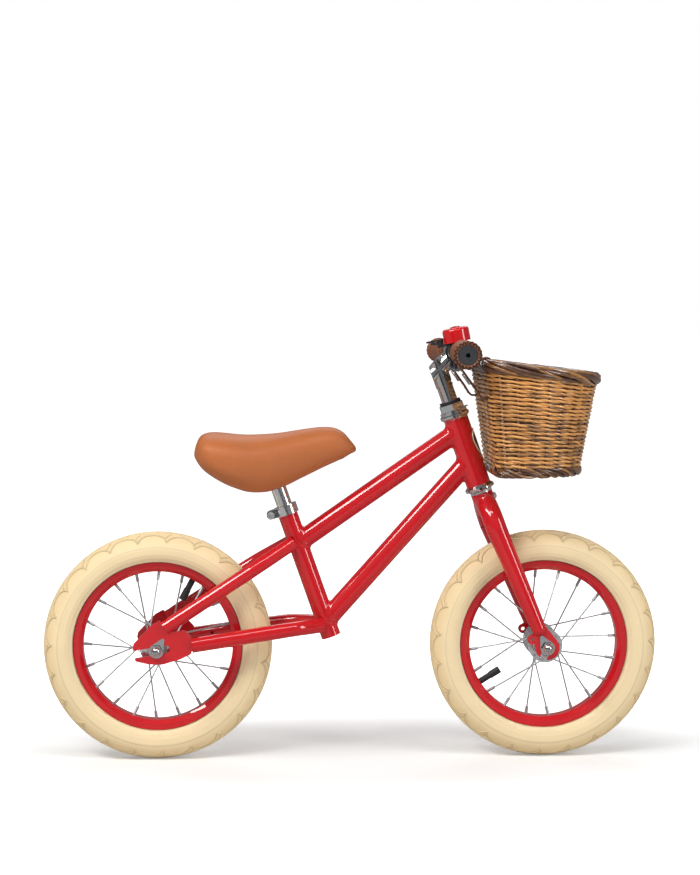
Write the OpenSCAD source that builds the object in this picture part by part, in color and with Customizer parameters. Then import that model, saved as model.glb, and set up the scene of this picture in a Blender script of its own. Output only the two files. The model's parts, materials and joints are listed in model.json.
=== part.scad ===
// Balance bike for small children: a steel frame with a threaded fork, two spoked
// wheels, a quill stem with bell, a sprung-free saddle and a wicker front basket.
// X points forward, Y to the left, Z up. The origin is on the ground, midway
// between the two axles. All lengths are in millimetres.

/* [Wheels] */
// Distance between the two axles
wheelbase = 500; // [490:1:520]
// Outer diameter of the tyres
tyre_d = 295; // [285:1:297]
// Width of the tyre section
tyre_w = 47; // [44:0.5:48]
// Thickness of the tyre under the tread
tread_t = 3; // [2.6:0.1:4]
// Thickness of the tyre sidewall
sidewall_t = 4.5; // [4:0.1:5.5]
// Wall of the inner tube
tube_wall = 1.2; // [1:0.1:2]
// Diameter of the rim over its flanges
rim_d = 217; // [213:1:220]
// Diameter inside the rim
rim_inner_d = 192.6; // [188:0.2:196]
// Outer width of the rim
rim_w = 26; // [24:0.5:30]
// Wall of the rim
rim_t = 1.8; // [1.4:0.1:2.2]
// Number of spokes in a wheel
spoke_count = 20; // [12:4:28]
// Diameter of a spoke
spoke_d = 2; // [1.6:0.1:2.3]
// Length of the valve inside the rim
valve_l = 30; // [22:1:34]
// Angle of the valve in the front wheel
front_valve_angle = 212; // [200:1:216]
// Angle of the valve in the rear wheel
rear_valve_angle = 62; // [50:1:66]

/* [Hubs] */
// Diameter of the hub flanges
flange_d = 44; // [42:0.5:48]
// Diameter of the circle of spoke holes
spoke_circle_d = 37; // [34:0.5:38]
// Half the distance between the flanges
flange_y = 28; // [26:0.5:30]
// Thickness of a hub flange
flange_t = 2.4; // [2:0.1:3]
// Diameter of the hub barrel
barrel_d = 20; // [18:0.5:22]
// Outer diameter of a wheel bearing
bearing_d = 26; // [24:0.5:28]
// Width of a wheel bearing
bearing_w = 8; // [7:0.5:9]
// Diameter of the axles
axle_d = 9.5; // [9:0.1:10]
// Distance between the inner faces of the rear dropouts
rear_spacing = 95; // [92:0.5:100]
// Distance between the inner faces of the fork dropouts
fork_spacing = 90; // [87:0.5:94]
// Thickness of the dropout plates
dropout_t = 5; // [4:0.1:6]
// Width over the flats of an axle nut
axle_nut_flats = 14; // [13:0.5:15]
// Diameter of an axle washer
axle_washer_d = 18.4; // [17:0.2:20]

/* [Frame] */
// Angle of the head tube from the vertical
head_angle = 19.25; // [17:0.25:22]
// Forward offset of the front axle from the steering axis
fork_offset = 11.4; // [8:0.2:16]
// Distance from the axle to the fork crown along the steering axis
fork_length = 212; // [208:0.5:218]
// Length of the head tube
head_tube_l = 90; // [84:1:94]
// Diameter of the head tube
head_tube_d = 31.8; // [31:0.1:34]
// Wall of the head tube
head_tube_wall = 1.8; // [1.5:0.1:2]
// Diameter of the top tube
top_tube_d = 25.4; // [24:0.2:27]
// Diameter of the down tube
down_tube_d = 25.4; // [24:0.2:27]
// Wall of the frame tubes
frame_wall = 1.6; // [1.2:0.1:2.2]
// Diameter of the seat tube
seat_tube_d = 25.4; // [25:0.1:27]
// Length of the seat tube
seat_tube_l = 177; // [172:1:184]
// Angle of the seat tube from the vertical
seat_angle = 19.4; // [17:0.2:21]
// Diameter of the seat stays
seat_stay_d = 18; // [16:0.5:19]
// Diameter of the chain stays
chain_stay_d = 19; // [17:0.5:20]

/* [Fork and headset] */
// Diameter of the fork legs at the crown
leg_top_d = 27; // [25:0.5:28]
// Diameter of the fork legs at the dropouts
leg_bottom_d = 19; // [17:0.5:21]
// Half the distance between the fork legs at the crown
leg_top_y = 41.5; // [41:0.5:44]
// Diameter of the steerer
steerer_d = 25.4; // [25:0.1:26]
// Diameter of the headset cups
cup_d = 38.6; // [37:0.2:40]
// Height of a headset cup outside the head tube
cup_h = 7; // [6.5:0.1:8]
// Diameter of a headset ball
ball_d = 3.96; // [3.5:0.01:4.2]
// Number of balls in each headset bearing
ball_count = 18; // [12:1:20]
// Width over the flats of the headset locknut
locknut_flats = 30; // [29:0.2:32]
// Diameter of the threaded eyelet holes
eyelet_hole_d = 5; // [4.2:0.1:5.4]

/* [Stem, bar and bell] */
// Diameter of the quill
quill_d = 21.1; // [20.8:0.1:21.3]
// Diameter of the stem above its shoulder
stem_d = 22.8; // [22:0.1:24]
// Depth of the quill below the locknut seal
quill_depth = 70; // [60:1:80]
// Height of the shoulder above the seal
shoulder_h = 20; // [16:1:30]
// Reach of the stem, square to the steering axis
stem_reach = 29; // [27:0.5:34]
// Height of the stem corner above the seal
stem_rise = 43; // [41:0.5:48]
// Slope of the stem extension against the square to the steering axis
extension_angle = 27; // [20:1:32]
// Diameter of the handlebar
bar_d = 22.2; // [22:0.1:23]
// Width over the grips
bar_w = 410; // [390:1:430]
// Angle of the sweep at each end of the bar
sweep_angle = 2.5; // [0:0.1:5]
// Length of a grip
grip_l = 105; // [95:1:112]
// Diameter of a grip
grip_d = 30; // [28:0.5:33]
// Diameter of the collar at the end of a grip
grip_collar_d = 36.6; // [34:0.2:40]
// Diameter of the bell
bell_d = 34; // [30:0.5:38]
// Height of the bell dome
bell_h = 18; // [15:0.5:20]
// Distance of the bell from the middle of the bar
bell_y = 44; // [40:1:48]
// Backward tilt of the bell
bell_tilt = 11; // [6:1:16]

/* [Saddle] */
// Diameter of the seat post
post_d = 20; // [19.4:0.1:21]
// Depth of the seat post inside the seat tube
post_depth = 90; // [80:1:110]
// Height of the clamp collar
collar_h = 12.2; // [10:0.2:14]
// Length of the saddle
saddle_l = 207; // [198:1:215]
// Width of the saddle
saddle_w = 128; // [118:1:136]
// Depth of the saddle cover
saddle_h = 78; // [74:1:82]
// Visible length of seat post between collar and saddle
post_exposed = 21; // [18:1:30]

/* [Basket] */
// Width of the basket at the rim
basket_w = 230; // [210:1:240]
// Width of the basket at the foot
basket_foot_w = 180; // [165:1:190]
// Length of the basket at the rim, front to back
basket_l = 160; // [150:1:168]
// Length of the basket at the foot
basket_foot_l = 116; // [108:1:122]
// Height of the basket at the back
basket_h = 149; // [140:1:154]
// Forward lean of the basket's back wall from rim to foot
basket_lean = 19.5; // [19:0.5:22]
// Thickness of the wicker wall
wicker_t = 7; // [5:0.5:8]
// Thickness of the plaited border
border_t = 13; // [10:0.5:15]
// Drop of the rim from back to front
rim_drop = 20; // [10:1:26]
// Width of the leather straps
strap_w = 16; // [12:1:18]
// Thickness of the leather straps
strap_t = 2.4; // [1.8:0.1:3]
// Distance of each strap from the middle
strap_y = 72; // [68:1:76]
// Depth of the strap slots below the rim
strap_slot_drop = 48.5; // [46:0.5:56]
// Height of the strap slots
strap_slot_h = 12; // [11:0.5:14]

/* [Hidden] */
$fn = 64;

// Clearances
weld_gap = 0.05;
running_fit = 0.05;
seat_gap = 0.1;
soft_gap = 0.3;
cut = 1;

// Wheels
axle_z = tyre_d / 2;
rear_axle_x = -wheelbase / 2;
front_axle_x = wheelbase / 2;
cavity_r = tyre_w / 2 - sidewall_t;
cavity_centre_r = tyre_d / 2 - tread_t - cavity_r;
rim_r = rim_d / 2;
rim_inner_r = rim_inner_d / 2;
bead_seat_r = rim_r - 7;
bead_t = 3.5;
bead_y = rim_w / 2 - rim_t - seat_gap;
spoke_step = 360 / spoke_count;
hole_r = spoke_circle_d / 2;
elbow_out_y = flange_y + flange_t / 2 + spoke_d / 2 + 1.5;
elbow_in_y = flange_y - flange_t / 2 - spoke_d / 2 - 0.3;
spoke_head_t = 1.2;
stagger_y = 2;
nipple_d = 3.9;
nipple_head_d = 6;
nipple_l = 13;
nipple_head_l = 2;
nipple_head_lift = 1.3;
nipple_seat_r = rim_inner_r + rim_t;
nipple_gap = 0.1;
valve_d = 8;
valve_cap_d = 9.4;
valve_cap_l = 15;
front_spoke_phase = 5.2;
rear_spoke_phase = 16.7;

// Hubs
bearing_out_y = flange_y + flange_t / 2 + 5.5;
bearing_wall = 2.2;
spacer_d = 15;
washer_t = 1.6;
nut_body_h = 5;
nut_dome_d = 12.4;
nut_bore_l = nut_body_h + 3;
tab_reach = 15.5;
tab_tip_r = 2.6;
tab_pin_d = 3.2;
tab_pin_l = 2.5;
front_tab_angle = 119;
rear_tab_angle = 60;
slot_w = axle_d + 0.5;
rear_plate_y = rear_spacing / 2 + dropout_t / 2;
fork_plate_y = fork_spacing / 2 + dropout_t / 2;

// Head tube, along the steering axis: s is measured from the foot of the axle
race_h = 3.5;
head_low_s = fork_length + race_h + cup_h + 1;
head_top_s = head_low_s + head_tube_l;
head_bore_d = head_tube_d - 2 * head_tube_wall;
cup_insert_l = 9;
top_race_s = head_top_s + cup_h - 1.5;
top_race_h = 5.5;
washer_s = top_race_s + top_race_h;
lock_washer_t = 1.6;
locknut_s = washer_s + lock_washer_t;
locknut_h = 8;
seal_s = locknut_s + locknut_h;
seal_h = 4;
seal_top_s = seal_s + seal_h;
steerer_low_s = fork_length - 24;

// Seat tube, along its own axis: t is measured from its open foot
seat_foot = [-26, 157.6];
seat_top_tube_t = 129;
seat_down_tube_t = 21;
head_top_tube_s = head_top_s - 15.6;
head_down_tube_s = head_low_s + 33.7;
seat_stay_t = 130;
chain_stay_t = 17;
stay_top_back = 7;
seat_bore_d = post_d + 2 * running_fit;

// Stays
stay_plate_lap = 10;
stay_bend_r = 55;
seat_stay_top_y = 14;
seat_stay_bend = [-121, 252.8];
seat_stay_bend_y = 39;
seat_stay_end = [10.4, 29];
chain_stay_top_y = 14;
chain_stay_bend = [-76, 172.3];
chain_stay_bend_y = 39;
chain_stay_end = [44.8, 6.4];
vent_d = 4;

// Stem, in the steering frame: n is measured forward of the steering axis
corner_s = seal_top_s + stem_rise;
bar_n = stem_reach;
bar_s = corner_s + stem_reach * tan(extension_angle);
bar_clamp_d = bar_d + 9;
bar_clamp_w = 32;
ear_angle = 118;
stem_bolt_d = 6;
quill_low_s = seal_top_s - quill_depth;
wedge_l = 22;
bar_wall = 2;
straight_half = 82;
plug_d = 24;
plug_t = 3;
bar_x = front_axle_x + (bar_n - fork_offset) * cos(head_angle) - bar_s * sin(head_angle);
bar_z = axle_z + (bar_n - fork_offset) * sin(head_angle) + bar_s * cos(head_angle);

// Saddle: its pivot lies saddle_sink above the underside, on the seat tube axis
collar_t = seat_tube_l;
saddle_low_t = collar_t + post_exposed;
saddle_sink = 20;
pivot_t = saddle_low_t + saddle_sink;
post_head_w = 34;
post_head_d = 16;
clamp_pin_d = 8;
cover_t = 5;
base_t = 3;
deck_z = 26;
well_l = 62;
well_w = 46;

// Basket, in the bike frame
basket_back_x = bar_x + 25;
basket_rim_z = bar_z - 10;
basket_foot_z = basket_rim_z - basket_h;
strap_slot_z = basket_rim_z - strap_slot_drop;
basket_foot_x = basket_back_x + basket_lean;

// ---------------------------------------------------------------- helpers

function unit(v) = v / norm(v);

// Points of the arc that rounds corner p between the neighbours a and b
function corner_arc(a, p, b, r, steps = 4) =
    let (
        u = unit(a - p),
        v = unit(b - p),
        half = acos(u * v) / 2,
        centre = p + unit(u + v) * r / sin(half),
        from = p + u * r / tan(half) - centre,
        to = p + v * r / tan(half) - centre,
        start = atan2(from.y, from.x),
        sweep = (atan2(to.y, to.x) - start + 540) % 360 - 180
    )
    [for (i = [0 : steps]) centre + r * [cos(start + sweep * i / steps), sin(start + sweep * i / steps)]];

// Outline from corners given as [x, y, radius]
function rounded(corners) =
    let (n = len(corners), at = [for (c = corners) [c.x, c.y]])
    [for (i = [0 : n - 1]) each corner_arc(at[(i + n - 1) % n], at[i], at[(i + 1) % n], corners[i].z)];

// Round bar between two points
module rod(from, to, d) {
    v = to - from;
    translate(from)
        rotate([0, acos(v.z / norm(v)), atan2(v.y, v.x)])
            cylinder(h = norm(v), d = d);
}

// Disc along Y with its middle at y = 0
module y_disc(d, h) {
    rotate([90, 0, 0]) cylinder(d = d, h = h, center = true);
}

// Flat plate along Y from an outline drawn in X and Z, with its middle at y = 0
module y_plate(t) {
    rotate([90, 0, 0]) linear_extrude(height = t, center = true) children();
}

// Solid of revolution about Y from a section drawn as [radius, y]
module y_turned() {
    rotate([-90, 0, 0]) rotate_extrude() children();
}

// Two circles joined by their outer tangents: big at the start, small at the end
module teardrop(r1, r2, reach) {
    a = acos((r1 - r2) / reach);
    circle(r = r1);
    translate([reach, 0]) circle(r = r2);
    inset = 0.05;
    low = (r1 - inset) * [cos(a), sin(a)];
    high = [reach, 0] + (r2 - inset) * [cos(a), sin(a)];
    polygon([low, high, [high.x, -high.y], [low.x, -low.y]]);
}

module mirrored_y() {
    children();
    mirror([0, 1, 0]) children();
}

// Places children in the steering frame: +Z runs up the steering axis
module steering_frame() {
    translate([front_axle_x, 0, axle_z])
        rotate([0, -head_angle, 0])
            translate([-fork_offset, 0, 0])
                children();
}

// Places children in the seat tube frame: +Z runs up the seat tube
module seat_frame() {
    translate([seat_foot.x, 0, seat_foot.y]) rotate([0, -seat_angle, 0]) children();
}

module at_rear_axle() {
    translate([rear_axle_x, 0, axle_z]) children();
}

module at_front_axle() {
    translate([front_axle_x, 0, axle_z]) children();
}

function steering_point(n, s) = [
    front_axle_x + (n - fork_offset) * cos(head_angle) - s * sin(head_angle),
    0,
    axle_z + (n - fork_offset) * sin(head_angle) + s * cos(head_angle)
];

function seat_point(t) = [
    seat_foot.x - t * sin(seat_angle), 0, seat_foot.y + t * cos(seat_angle)
];

// ---------------------------------------------------------------- frame

module head_tube() {
    color("#c8161d") steering_frame() translate([0, 0, head_low_s]) difference() {
        cylinder(d = head_tube_d, h = head_tube_l);
        translate([0, 0, -cut]) cylinder(d = head_bore_d, h = head_tube_l + 2 * cut);
    }
}

// Tube whose ends are coped to the seat tube and the head tube
module coped_tube(from, to, d) {
    v = unit(to - from);
    difference() {
        rod(from, to, d);
        rod(from - v * cut, to + v * cut, d - 2 * frame_wall);
        rod(seat_point(-cut), seat_point(seat_tube_l + cut), seat_tube_d + 2 * weld_gap);
        rod(steering_point(0, head_low_s - cut), steering_point(0, head_top_s + cut),
            head_tube_d + 2 * weld_gap);
    }
}

module top_tube() {
    color("#c8161d")
        coped_tube(seat_point(seat_top_tube_t), steering_point(0, head_top_tube_s), top_tube_d);
}

module down_tube() {
    color("#c8161d")
        coped_tube(seat_point(seat_down_tube_t), steering_point(0, head_down_tube_s), down_tube_d);
}

module seat_tube() {
    color("#c8161d") seat_frame() difference() {
        cylinder(d = seat_tube_d, h = seat_tube_l);
        translate([0, 0, -cut]) cylinder(d = seat_bore_d, h = seat_tube_l + 2 * cut);
        // Slot that lets the collar squeeze the tube
        translate([-seat_tube_d / 2, 0, seat_tube_l - 12]) cube([seat_tube_d, 2, 26], center = true);
    }
}

// Each bend is a hair thinner than its legs and laps into them by an angle
bend_step = 0.2;
bend_lap = 0.4;

// Round bar that starts l1 before a bend of radius r at the origin and ends l2 past it
module bent_rod(l1, l2, r, angle, d) {
    rotate([90, 0, 0]) cylinder(d = d, h = l1);
    translate([-r, 0, 0]) {
        rotate(-bend_lap) rotate_extrude(angle = angle + 2 * bend_lap) translate([r, 0])
            circle(d = d - bend_step);
        rotate(angle) translate([r, 0, 0]) rotate([-90, 0, 0]) cylinder(d = d, h = l2);
    }
}

// Bent stay from the seat tube to a dropout plate, on the left side
module stay(top, bend, end, d, slot_angle) {
    inner = d - 2 * frame_wall;
    along = unit(bend - top);
    after = unit(end - bend);
    angle = acos(along * after);
    away = -unit(after - (after * along) * along);
    up = cross(away, along);
    tangent_l = stay_bend_r * tan(angle / 2);
    start = bend - along * tangent_l;
    l1 = norm(start - top);
    l2 = norm(end - bend) - tangent_l;
    difference() {
        multmatrix([
            [away.x, along.x, up.x, start.x],
            [away.y, along.y, up.y, start.y],
            [away.z, along.z, up.z, start.z]
        ]) difference() {
            bent_rod(l1, l2, stay_bend_r, angle, d);
            bent_rod(l1 + cut, l2 + cut, stay_bend_r, angle, inner);
        }
        rod(seat_point(-cut), seat_point(seat_tube_l + cut), seat_tube_d + 2 * weld_gap);
        // Slot that holds the dropout plate
        translate(end) rotate([0, slot_angle, 0])
            translate([stay_plate_lap / 2 - cut, 0, 0])
                cube([stay_plate_lap + 2 * cut, dropout_t + 2 * weld_gap, d + 2 * cut], center = true);
        // Vent towards the wheel
        translate(end) rotate([0, slot_angle, 0]) translate([2.4 * stay_plate_lap, -d / 2, 0])
            rotate([90, 0, 0]) cylinder(d = vent_d, h = d, center = true);
    }
}

module seat_stays() {
    end = [rear_axle_x + seat_stay_end.x, rear_plate_y, axle_z + seat_stay_end.y];
    top = seat_point(seat_stay_t) + [-stay_top_back, seat_stay_top_y, 0];
    color("#c8161d") mirrored_y()
        stay(top, [seat_stay_bend.x, seat_stay_bend_y, seat_stay_bend.y], end, seat_stay_d, -33);
}

module chain_stays() {
    end = [rear_axle_x + chain_stay_end.x, rear_plate_y, axle_z + chain_stay_end.y];
    top = seat_point(chain_stay_t) + [-stay_top_back, chain_stay_top_y, 0];
    color("#c8161d") mirrored_y()
        stay(top, [chain_stay_bend.x, chain_stay_bend_y, chain_stay_bend.y], end, chain_stay_d, -7.6);
}

// Outline of a rear dropout about the axle, with its slot open to the rear
module rear_dropout_outline() {
    slot_angle = 9.3;
    difference() {
        union() {
            polygon(rounded([
                [-30, 3.5, 3], [-29, 9, 3], [-6, 33, 6], [4.6, 38.8, 2], [14, 26, 2],
                [22, 24, 6], [36, 26, 4], [44.8, 17, 4], [44.8, -4, 4], [30, -11, 8],
                [8, -17.4, 12], [-10, -17, 12], [-27, -13, 1.5], [-27, -8.5, 1.5]
            ]));
            // Tongues inside the two stays
            translate(chain_stay_end) rotate(7.6) translate([-2, 2.5 - chain_stay_d / 2])
                square([stay_plate_lap + 1, chain_stay_d - 5]);
            translate(seat_stay_end) rotate(33) translate([-2, 2.5 - seat_stay_d / 2])
                square([stay_plate_lap + 1, seat_stay_d - 5]);
        }
        circle(d = slot_w);
        rotate(slot_angle) {
            translate([12, 0]) circle(d = slot_w);
            translate([-45, -slot_w / 2]) square([57, slot_w]);
        }
        rotate(rear_tab_angle) translate([tab_reach, 0]) circle(d = tab_pin_d + 0.4);
    }
}

module rear_dropouts() {
    color("#c8161d") mirrored_y() at_rear_axle() translate([0, rear_plate_y, 0])
        y_plate(dropout_t) rear_dropout_outline();
}

// Plain curved plate on the front of the head tube
module head_badge() {
    badge_t = 1;
    badge_h = 45;
    badge_s = head_low_s + 26;
    half_angle = 48;
    chord_x = head_tube_d / 2 * cos(half_angle);
    color("#8a6a4f") steering_frame() translate([0, 0, badge_s]) intersection() {
        difference() {
            cylinder(d = head_tube_d + 2 * (badge_t + seat_gap), h = badge_h);
            translate([0, 0, -cut]) cylinder(d = head_tube_d + 2 * seat_gap, h = badge_h + 2 * cut);
        }
        translate([chord_x, 0, 0]) rotate([90, 0, 90]) linear_extrude(height = head_tube_d)
            polygon([
                [0, 0], [5, 9], [10.5, 18], [12.3, 30], [11.5, 38], [5, badge_h],
                [-5, badge_h], [-11.5, 38], [-12.3, 30], [-10.5, 18], [-5, 9]
            ]);
    }
}

// Headset cup as a section [radius, height], flange up
module cup_section() {
    insert_r = head_bore_d / 2 - 0.01;
    polygon([
        [insert_r - 1.2, -cup_insert_l], [insert_r, -cup_insert_l], [insert_r, 0],
        [head_tube_d / 2, 0], [cup_d / 2, 3.2], [cup_d / 2, cup_h - 0.8],
        [cup_d / 2 - 0.8, cup_h], [cup_d / 2 - 2.4, cup_h], [cup_d / 2 - 2.4, 1.8],
        [insert_r - 1.2, 1.4]
    ]);
}

module upper_headset_cup() {
    color("#c9ccd1") steering_frame() translate([0, 0, head_top_s]) rotate_extrude() cup_section();
}

module lower_headset_cup() {
    color("#c9ccd1") steering_frame() translate([0, 0, head_low_s]) mirror([0, 0, 1])
        rotate_extrude() cup_section();
}

// Collar that pinches the top of the seat tube
collar_outer_d = seat_tube_d + 5;
collar_ear_x = -(seat_tube_d / 2 + 8.5);
collar_bolt_d = 5;
collar_slit = 3;

module seat_clamp() {
    ear_w = 22;
    bore_d = seat_tube_d + 2 * seat_gap;
    color("#c9ccd1") seat_frame() translate([0, 0, collar_t - collar_h + 4]) difference() {
        union() {
            cylinder(d = collar_outer_d, h = collar_h);
            translate([collar_ear_x, 0, collar_h / 2]) y_disc(10.4, ear_w);
            translate([collar_ear_x, -ear_w / 2, collar_h / 2 - 5.2]) cube([-collar_ear_x - 8, ear_w, 10.4]);
        }
        translate([0, 0, -cut]) cylinder(d = bore_d, h = collar_h - 4 + cut);
        translate([0, 0, -cut]) cylinder(d = seat_bore_d + 1, h = collar_h + 2 * cut);
        translate([-seat_tube_d - 10, -collar_slit / 2, -cut]) cube([seat_tube_d, collar_slit, collar_h + 2 * cut]);
        translate([collar_ear_x, 0, collar_h / 2]) y_disc(collar_bolt_d + 0.2, ear_w + 2 * cut);
    }
}

// Socket head bolt along Y with its head at the right side
module socket_bolt(d, head_d, head_h, l) {
    socket_d = d * 0.9;
    rotate([90, 0, 0]) difference() {
        union() {
            translate([0, 0, -l / 2]) cylinder(d = d, h = l);
            translate([0, 0, l / 2]) cylinder(d = head_d, h = head_h);
        }
        translate([0, 0, l / 2 + head_h / 2]) cylinder(d = socket_d, h = head_h, $fn = 6);
    }
}

module seat_clamp_bolt() {
    color("#b9bcc2") seat_frame()
        translate([collar_ear_x, -seat_gap / 2, collar_t - collar_h / 2 + 4])
            socket_bolt(collar_bolt_d, 9.4, 4.5, 22 + seat_gap);
}

// ---------------------------------------------------------------- wheels

// Axle with its two shoulders, for hubs of a given spacing
module axle(spacing) {
    end_l = dropout_t + washer_t + nut_bore_l - 0.2;
    y_disc(axle_d, spacing + 2 * end_l);
}

module bearings() {
    mirrored_y() translate([0, bearing_out_y - bearing_w / 2, 0]) y_turned()
        translate([axle_d / 2 + 0.02, -bearing_w / 2])
            square([(bearing_d - axle_d) / 2 - 0.04 - running_fit, bearing_w]);
}

module spacers(spacing) {
    mirrored_y() y_turned() translate([axle_d / 2 + 0.02, bearing_out_y + 0.02])
        square([(spacer_d - axle_d) / 2, spacing / 2 - bearing_out_y - 0.04]);
}

// Washer with a tab whose pin locks in the dropout plate
module tab_washer(angle) {
    difference() {
        union() {
            y_plate(washer_t) rotate(angle) teardrop(axle_washer_d / 2, tab_tip_r, tab_reach);
            rotate([0, -angle, 0]) translate([tab_reach, -washer_t / 2 - tab_pin_l / 2 + 0.5, 0])
                y_disc(tab_pin_d, tab_pin_l + 1);
        }
        y_disc(axle_d + 0.04, washer_t + 2 * cut);
    }
}

module tab_washers(spacing, angle) {
    y = spacing / 2 + dropout_t + 0.02 + washer_t / 2;
    mirrored_y() translate([0, y, 0]) tab_washer(angle);
}

// Domed cap nut, its base at y = 0 and its dome towards +Y
module cap_nut() {
    nut_r = axle_nut_flats / 2 / cos(30);
    difference() {
        union() {
            rotate([-90, 0, 0]) cylinder(r = nut_r, h = nut_body_h, $fn = 6);
            translate([0, nut_body_h, 0]) intersection() {
                sphere(d = nut_dome_d);
                translate([-nut_dome_d, 0, -nut_dome_d]) cube(2 * nut_dome_d);
            }
        }
        rotate([-90, 0, 0]) translate([0, 0, -cut])
            cylinder(d = axle_d + 0.04, h = nut_bore_l + cut);
    }
}

module axle_nuts(spacing) {
    y = spacing / 2 + dropout_t + washer_t + 0.04;
    mirrored_y() translate([0, y, 0]) cap_nut();
}

// Hub shell with two drilled flanges; the spokes' hub holes lie at spoke_hub_angle(i)
module hub() {
    shell_r = bearing_d / 2 + bearing_wall;
    half = bearing_out_y - 0.5;
    difference() {
        union() {
            y_disc(barrel_d, 2 * flange_y);
            mirrored_y() {
                translate([0, flange_y, 0]) y_disc(flange_d, flange_t);
                translate([0, (flange_y - 3 + half) / 2, 0]) y_disc(2 * shell_r, half - flange_y + 3);
            }
        }
        y_disc(axle_d + 3, 2 * half + 2 * cut);
        mirrored_y() translate([0, half - bearing_w / 2 + 0.5, 0]) y_disc(bearing_d, bearing_w + 0.02);
        for (i = [0 : spoke_count - 1])
            rotate([0, -spoke_hub_angle(i), 0])
                translate([hole_r, spoke_side(i) * flange_y, 0])
                    y_disc(spoke_d + 0.3, flange_t + 2 * cut);
    }
}

// Spokes go by turns to the right and the left flange
function spoke_side(i) = i % 2 == 0 ? -1 : 1;

// Spokes of one flange lean by turns forward and back, each crossing one neighbour
function spoke_lean(i) = floor(i / 2) % 2 == 0 ? 1 : -1;
function spoke_hub_angle(i) = (i + 2 * spoke_lean(i)) * spoke_step;

// Ends of a spoke at the hub and at the rim
function spoke_elbow(i) =
    let (a = spoke_hub_angle(i), y = spoke_lean(i) > 0 ? elbow_out_y : elbow_in_y)
    [hole_r * cos(a), spoke_side(i) * y, hole_r * sin(a)];
function rim_point(i, r) =
    [r * cos(i * spoke_step), spoke_side(i) * stagger_y, r * sin(i * spoke_step)];

// Head of a spoke, on the other face of its flange
function spoke_head(i) =
    let (
        a = spoke_hub_angle(i),
        face = flange_y - spoke_lean(i) * (flange_t / 2 + spoke_head_t / 2 + 0.05)
    )
    [hole_r * cos(a), spoke_side(i) * face, hole_r * sin(a)];

module spokes(phase) {
    rotate([0, -phase, 0]) for (i = [0 : spoke_count - 1]) {
        elbow = spoke_elbow(i);
        head = spoke_head(i);
        rod(elbow, rim_point(i, nipple_seat_r), spoke_d);
        rod(elbow + unit(elbow - head) * spoke_d / 2, head, spoke_d + 0.1);
        translate(head) y_disc(spoke_d * 1.8, spoke_head_t);
    }
}

// Direction of a spoke from the rim to the hub
function spoke_dir(i) = unit(spoke_elbow(i) - rim_point(i, nipple_seat_r));

module nipples(phase) {
    head_top = nipple_head_lift + nipple_head_l;
    rotate([0, -phase, 0]) for (i = [0 : spoke_count - 1]) {
        seat = rim_point(i, nipple_seat_r);
        dir = spoke_dir(i);
        difference() {
            union() {
                rod(seat - dir * (head_top - 0.1), seat + dir * nipple_l, nipple_d);
                rod(seat - dir * head_top, seat - dir * nipple_head_lift, nipple_head_d);
            }
            rod(seat - dir * 5, seat + dir * (nipple_l + cut), spoke_d + 0.04);
        }
    }
}

// Channel section of the rim as [radius, y]
module rim_section() {
    slant = 4.5;
    half = rim_w / 2;
    difference() {
        polygon([
            [rim_r, -half], [bead_seat_r, -half], [rim_inner_r, slant - half],
            [rim_inner_r, half - slant], [bead_seat_r, half], [rim_r, half]
        ]);
        polygon([
            [rim_r + cut, rim_t - half], [bead_seat_r, rim_t - half],
            [rim_inner_r + rim_t, slant + 1 - half], [rim_inner_r + rim_t, half - slant - 1],
            [bead_seat_r, half - rim_t], [rim_r + cut, half - rim_t]
        ]);
    }
}

module rim(phase, valve_angle) {
    difference() {
        y_turned() rim_section();
        rotate([0, -phase, 0]) for (i = [0 : spoke_count - 1])
            rod(rim_point(i, nipple_seat_r) - spoke_dir(i) * 3,
                rim_point(i, nipple_seat_r) + spoke_dir(i) * 5, nipple_d + 2 * nipple_gap);
        rotate([0, -valve_angle, 0]) translate([rim_inner_r, 0, 0]) rotate([0, 90, 0])
            cylinder(d = valve_d + 0.6, h = 12, center = true);
    }
}

// Hollow ring that fills the tyre, with its valve and valve cap
module inner_tube(valve_angle) {
    tube_r = cavity_r - soft_gap;
    stem_start = cavity_centre_r - tube_r + tube_wall / 2;
    stem_end = rim_inner_r - valve_l + valve_cap_l;
    y_turned() translate([cavity_centre_r, 0]) difference() {
        circle(r = tube_r);
        circle(r = tube_r - tube_wall);
    }
    rotate([0, -valve_angle, 0]) {
        rod([stem_end, 0, 0], [stem_start, 0, 0], valve_d);
        rod([stem_end - valve_cap_l, 0, 0], [stem_end - 0.02, 0, 0], valve_cap_d);
    }
}

// Tyre casing with its two beads, as [radius, y]
module tyre_section() {
    bead_low_r = bead_seat_r + seat_gap;
    difference() {
        union() {
            translate([tyre_d / 2 - tyre_w / 2, 0]) circle(r = tyre_w / 2);
            translate([bead_low_r, -bead_y]) square([cavity_centre_r - bead_low_r, 2 * bead_y]);
        }
        translate([cavity_centre_r, 0]) circle(r = cavity_r);
        translate([rim_inner_r, bead_t - bead_y])
            square([cavity_centre_r - rim_inner_r, 2 * (bead_y - bead_t)]);
        for (side = [-1, 1])
            translate([rim_inner_r, side * (bead_y + tyre_w / 2) - tyre_w / 2])
                square([rim_r + soft_gap - rim_inner_r, tyre_w]);
    }
}

module tyre() {
    y_turned() tyre_section();
}

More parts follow.
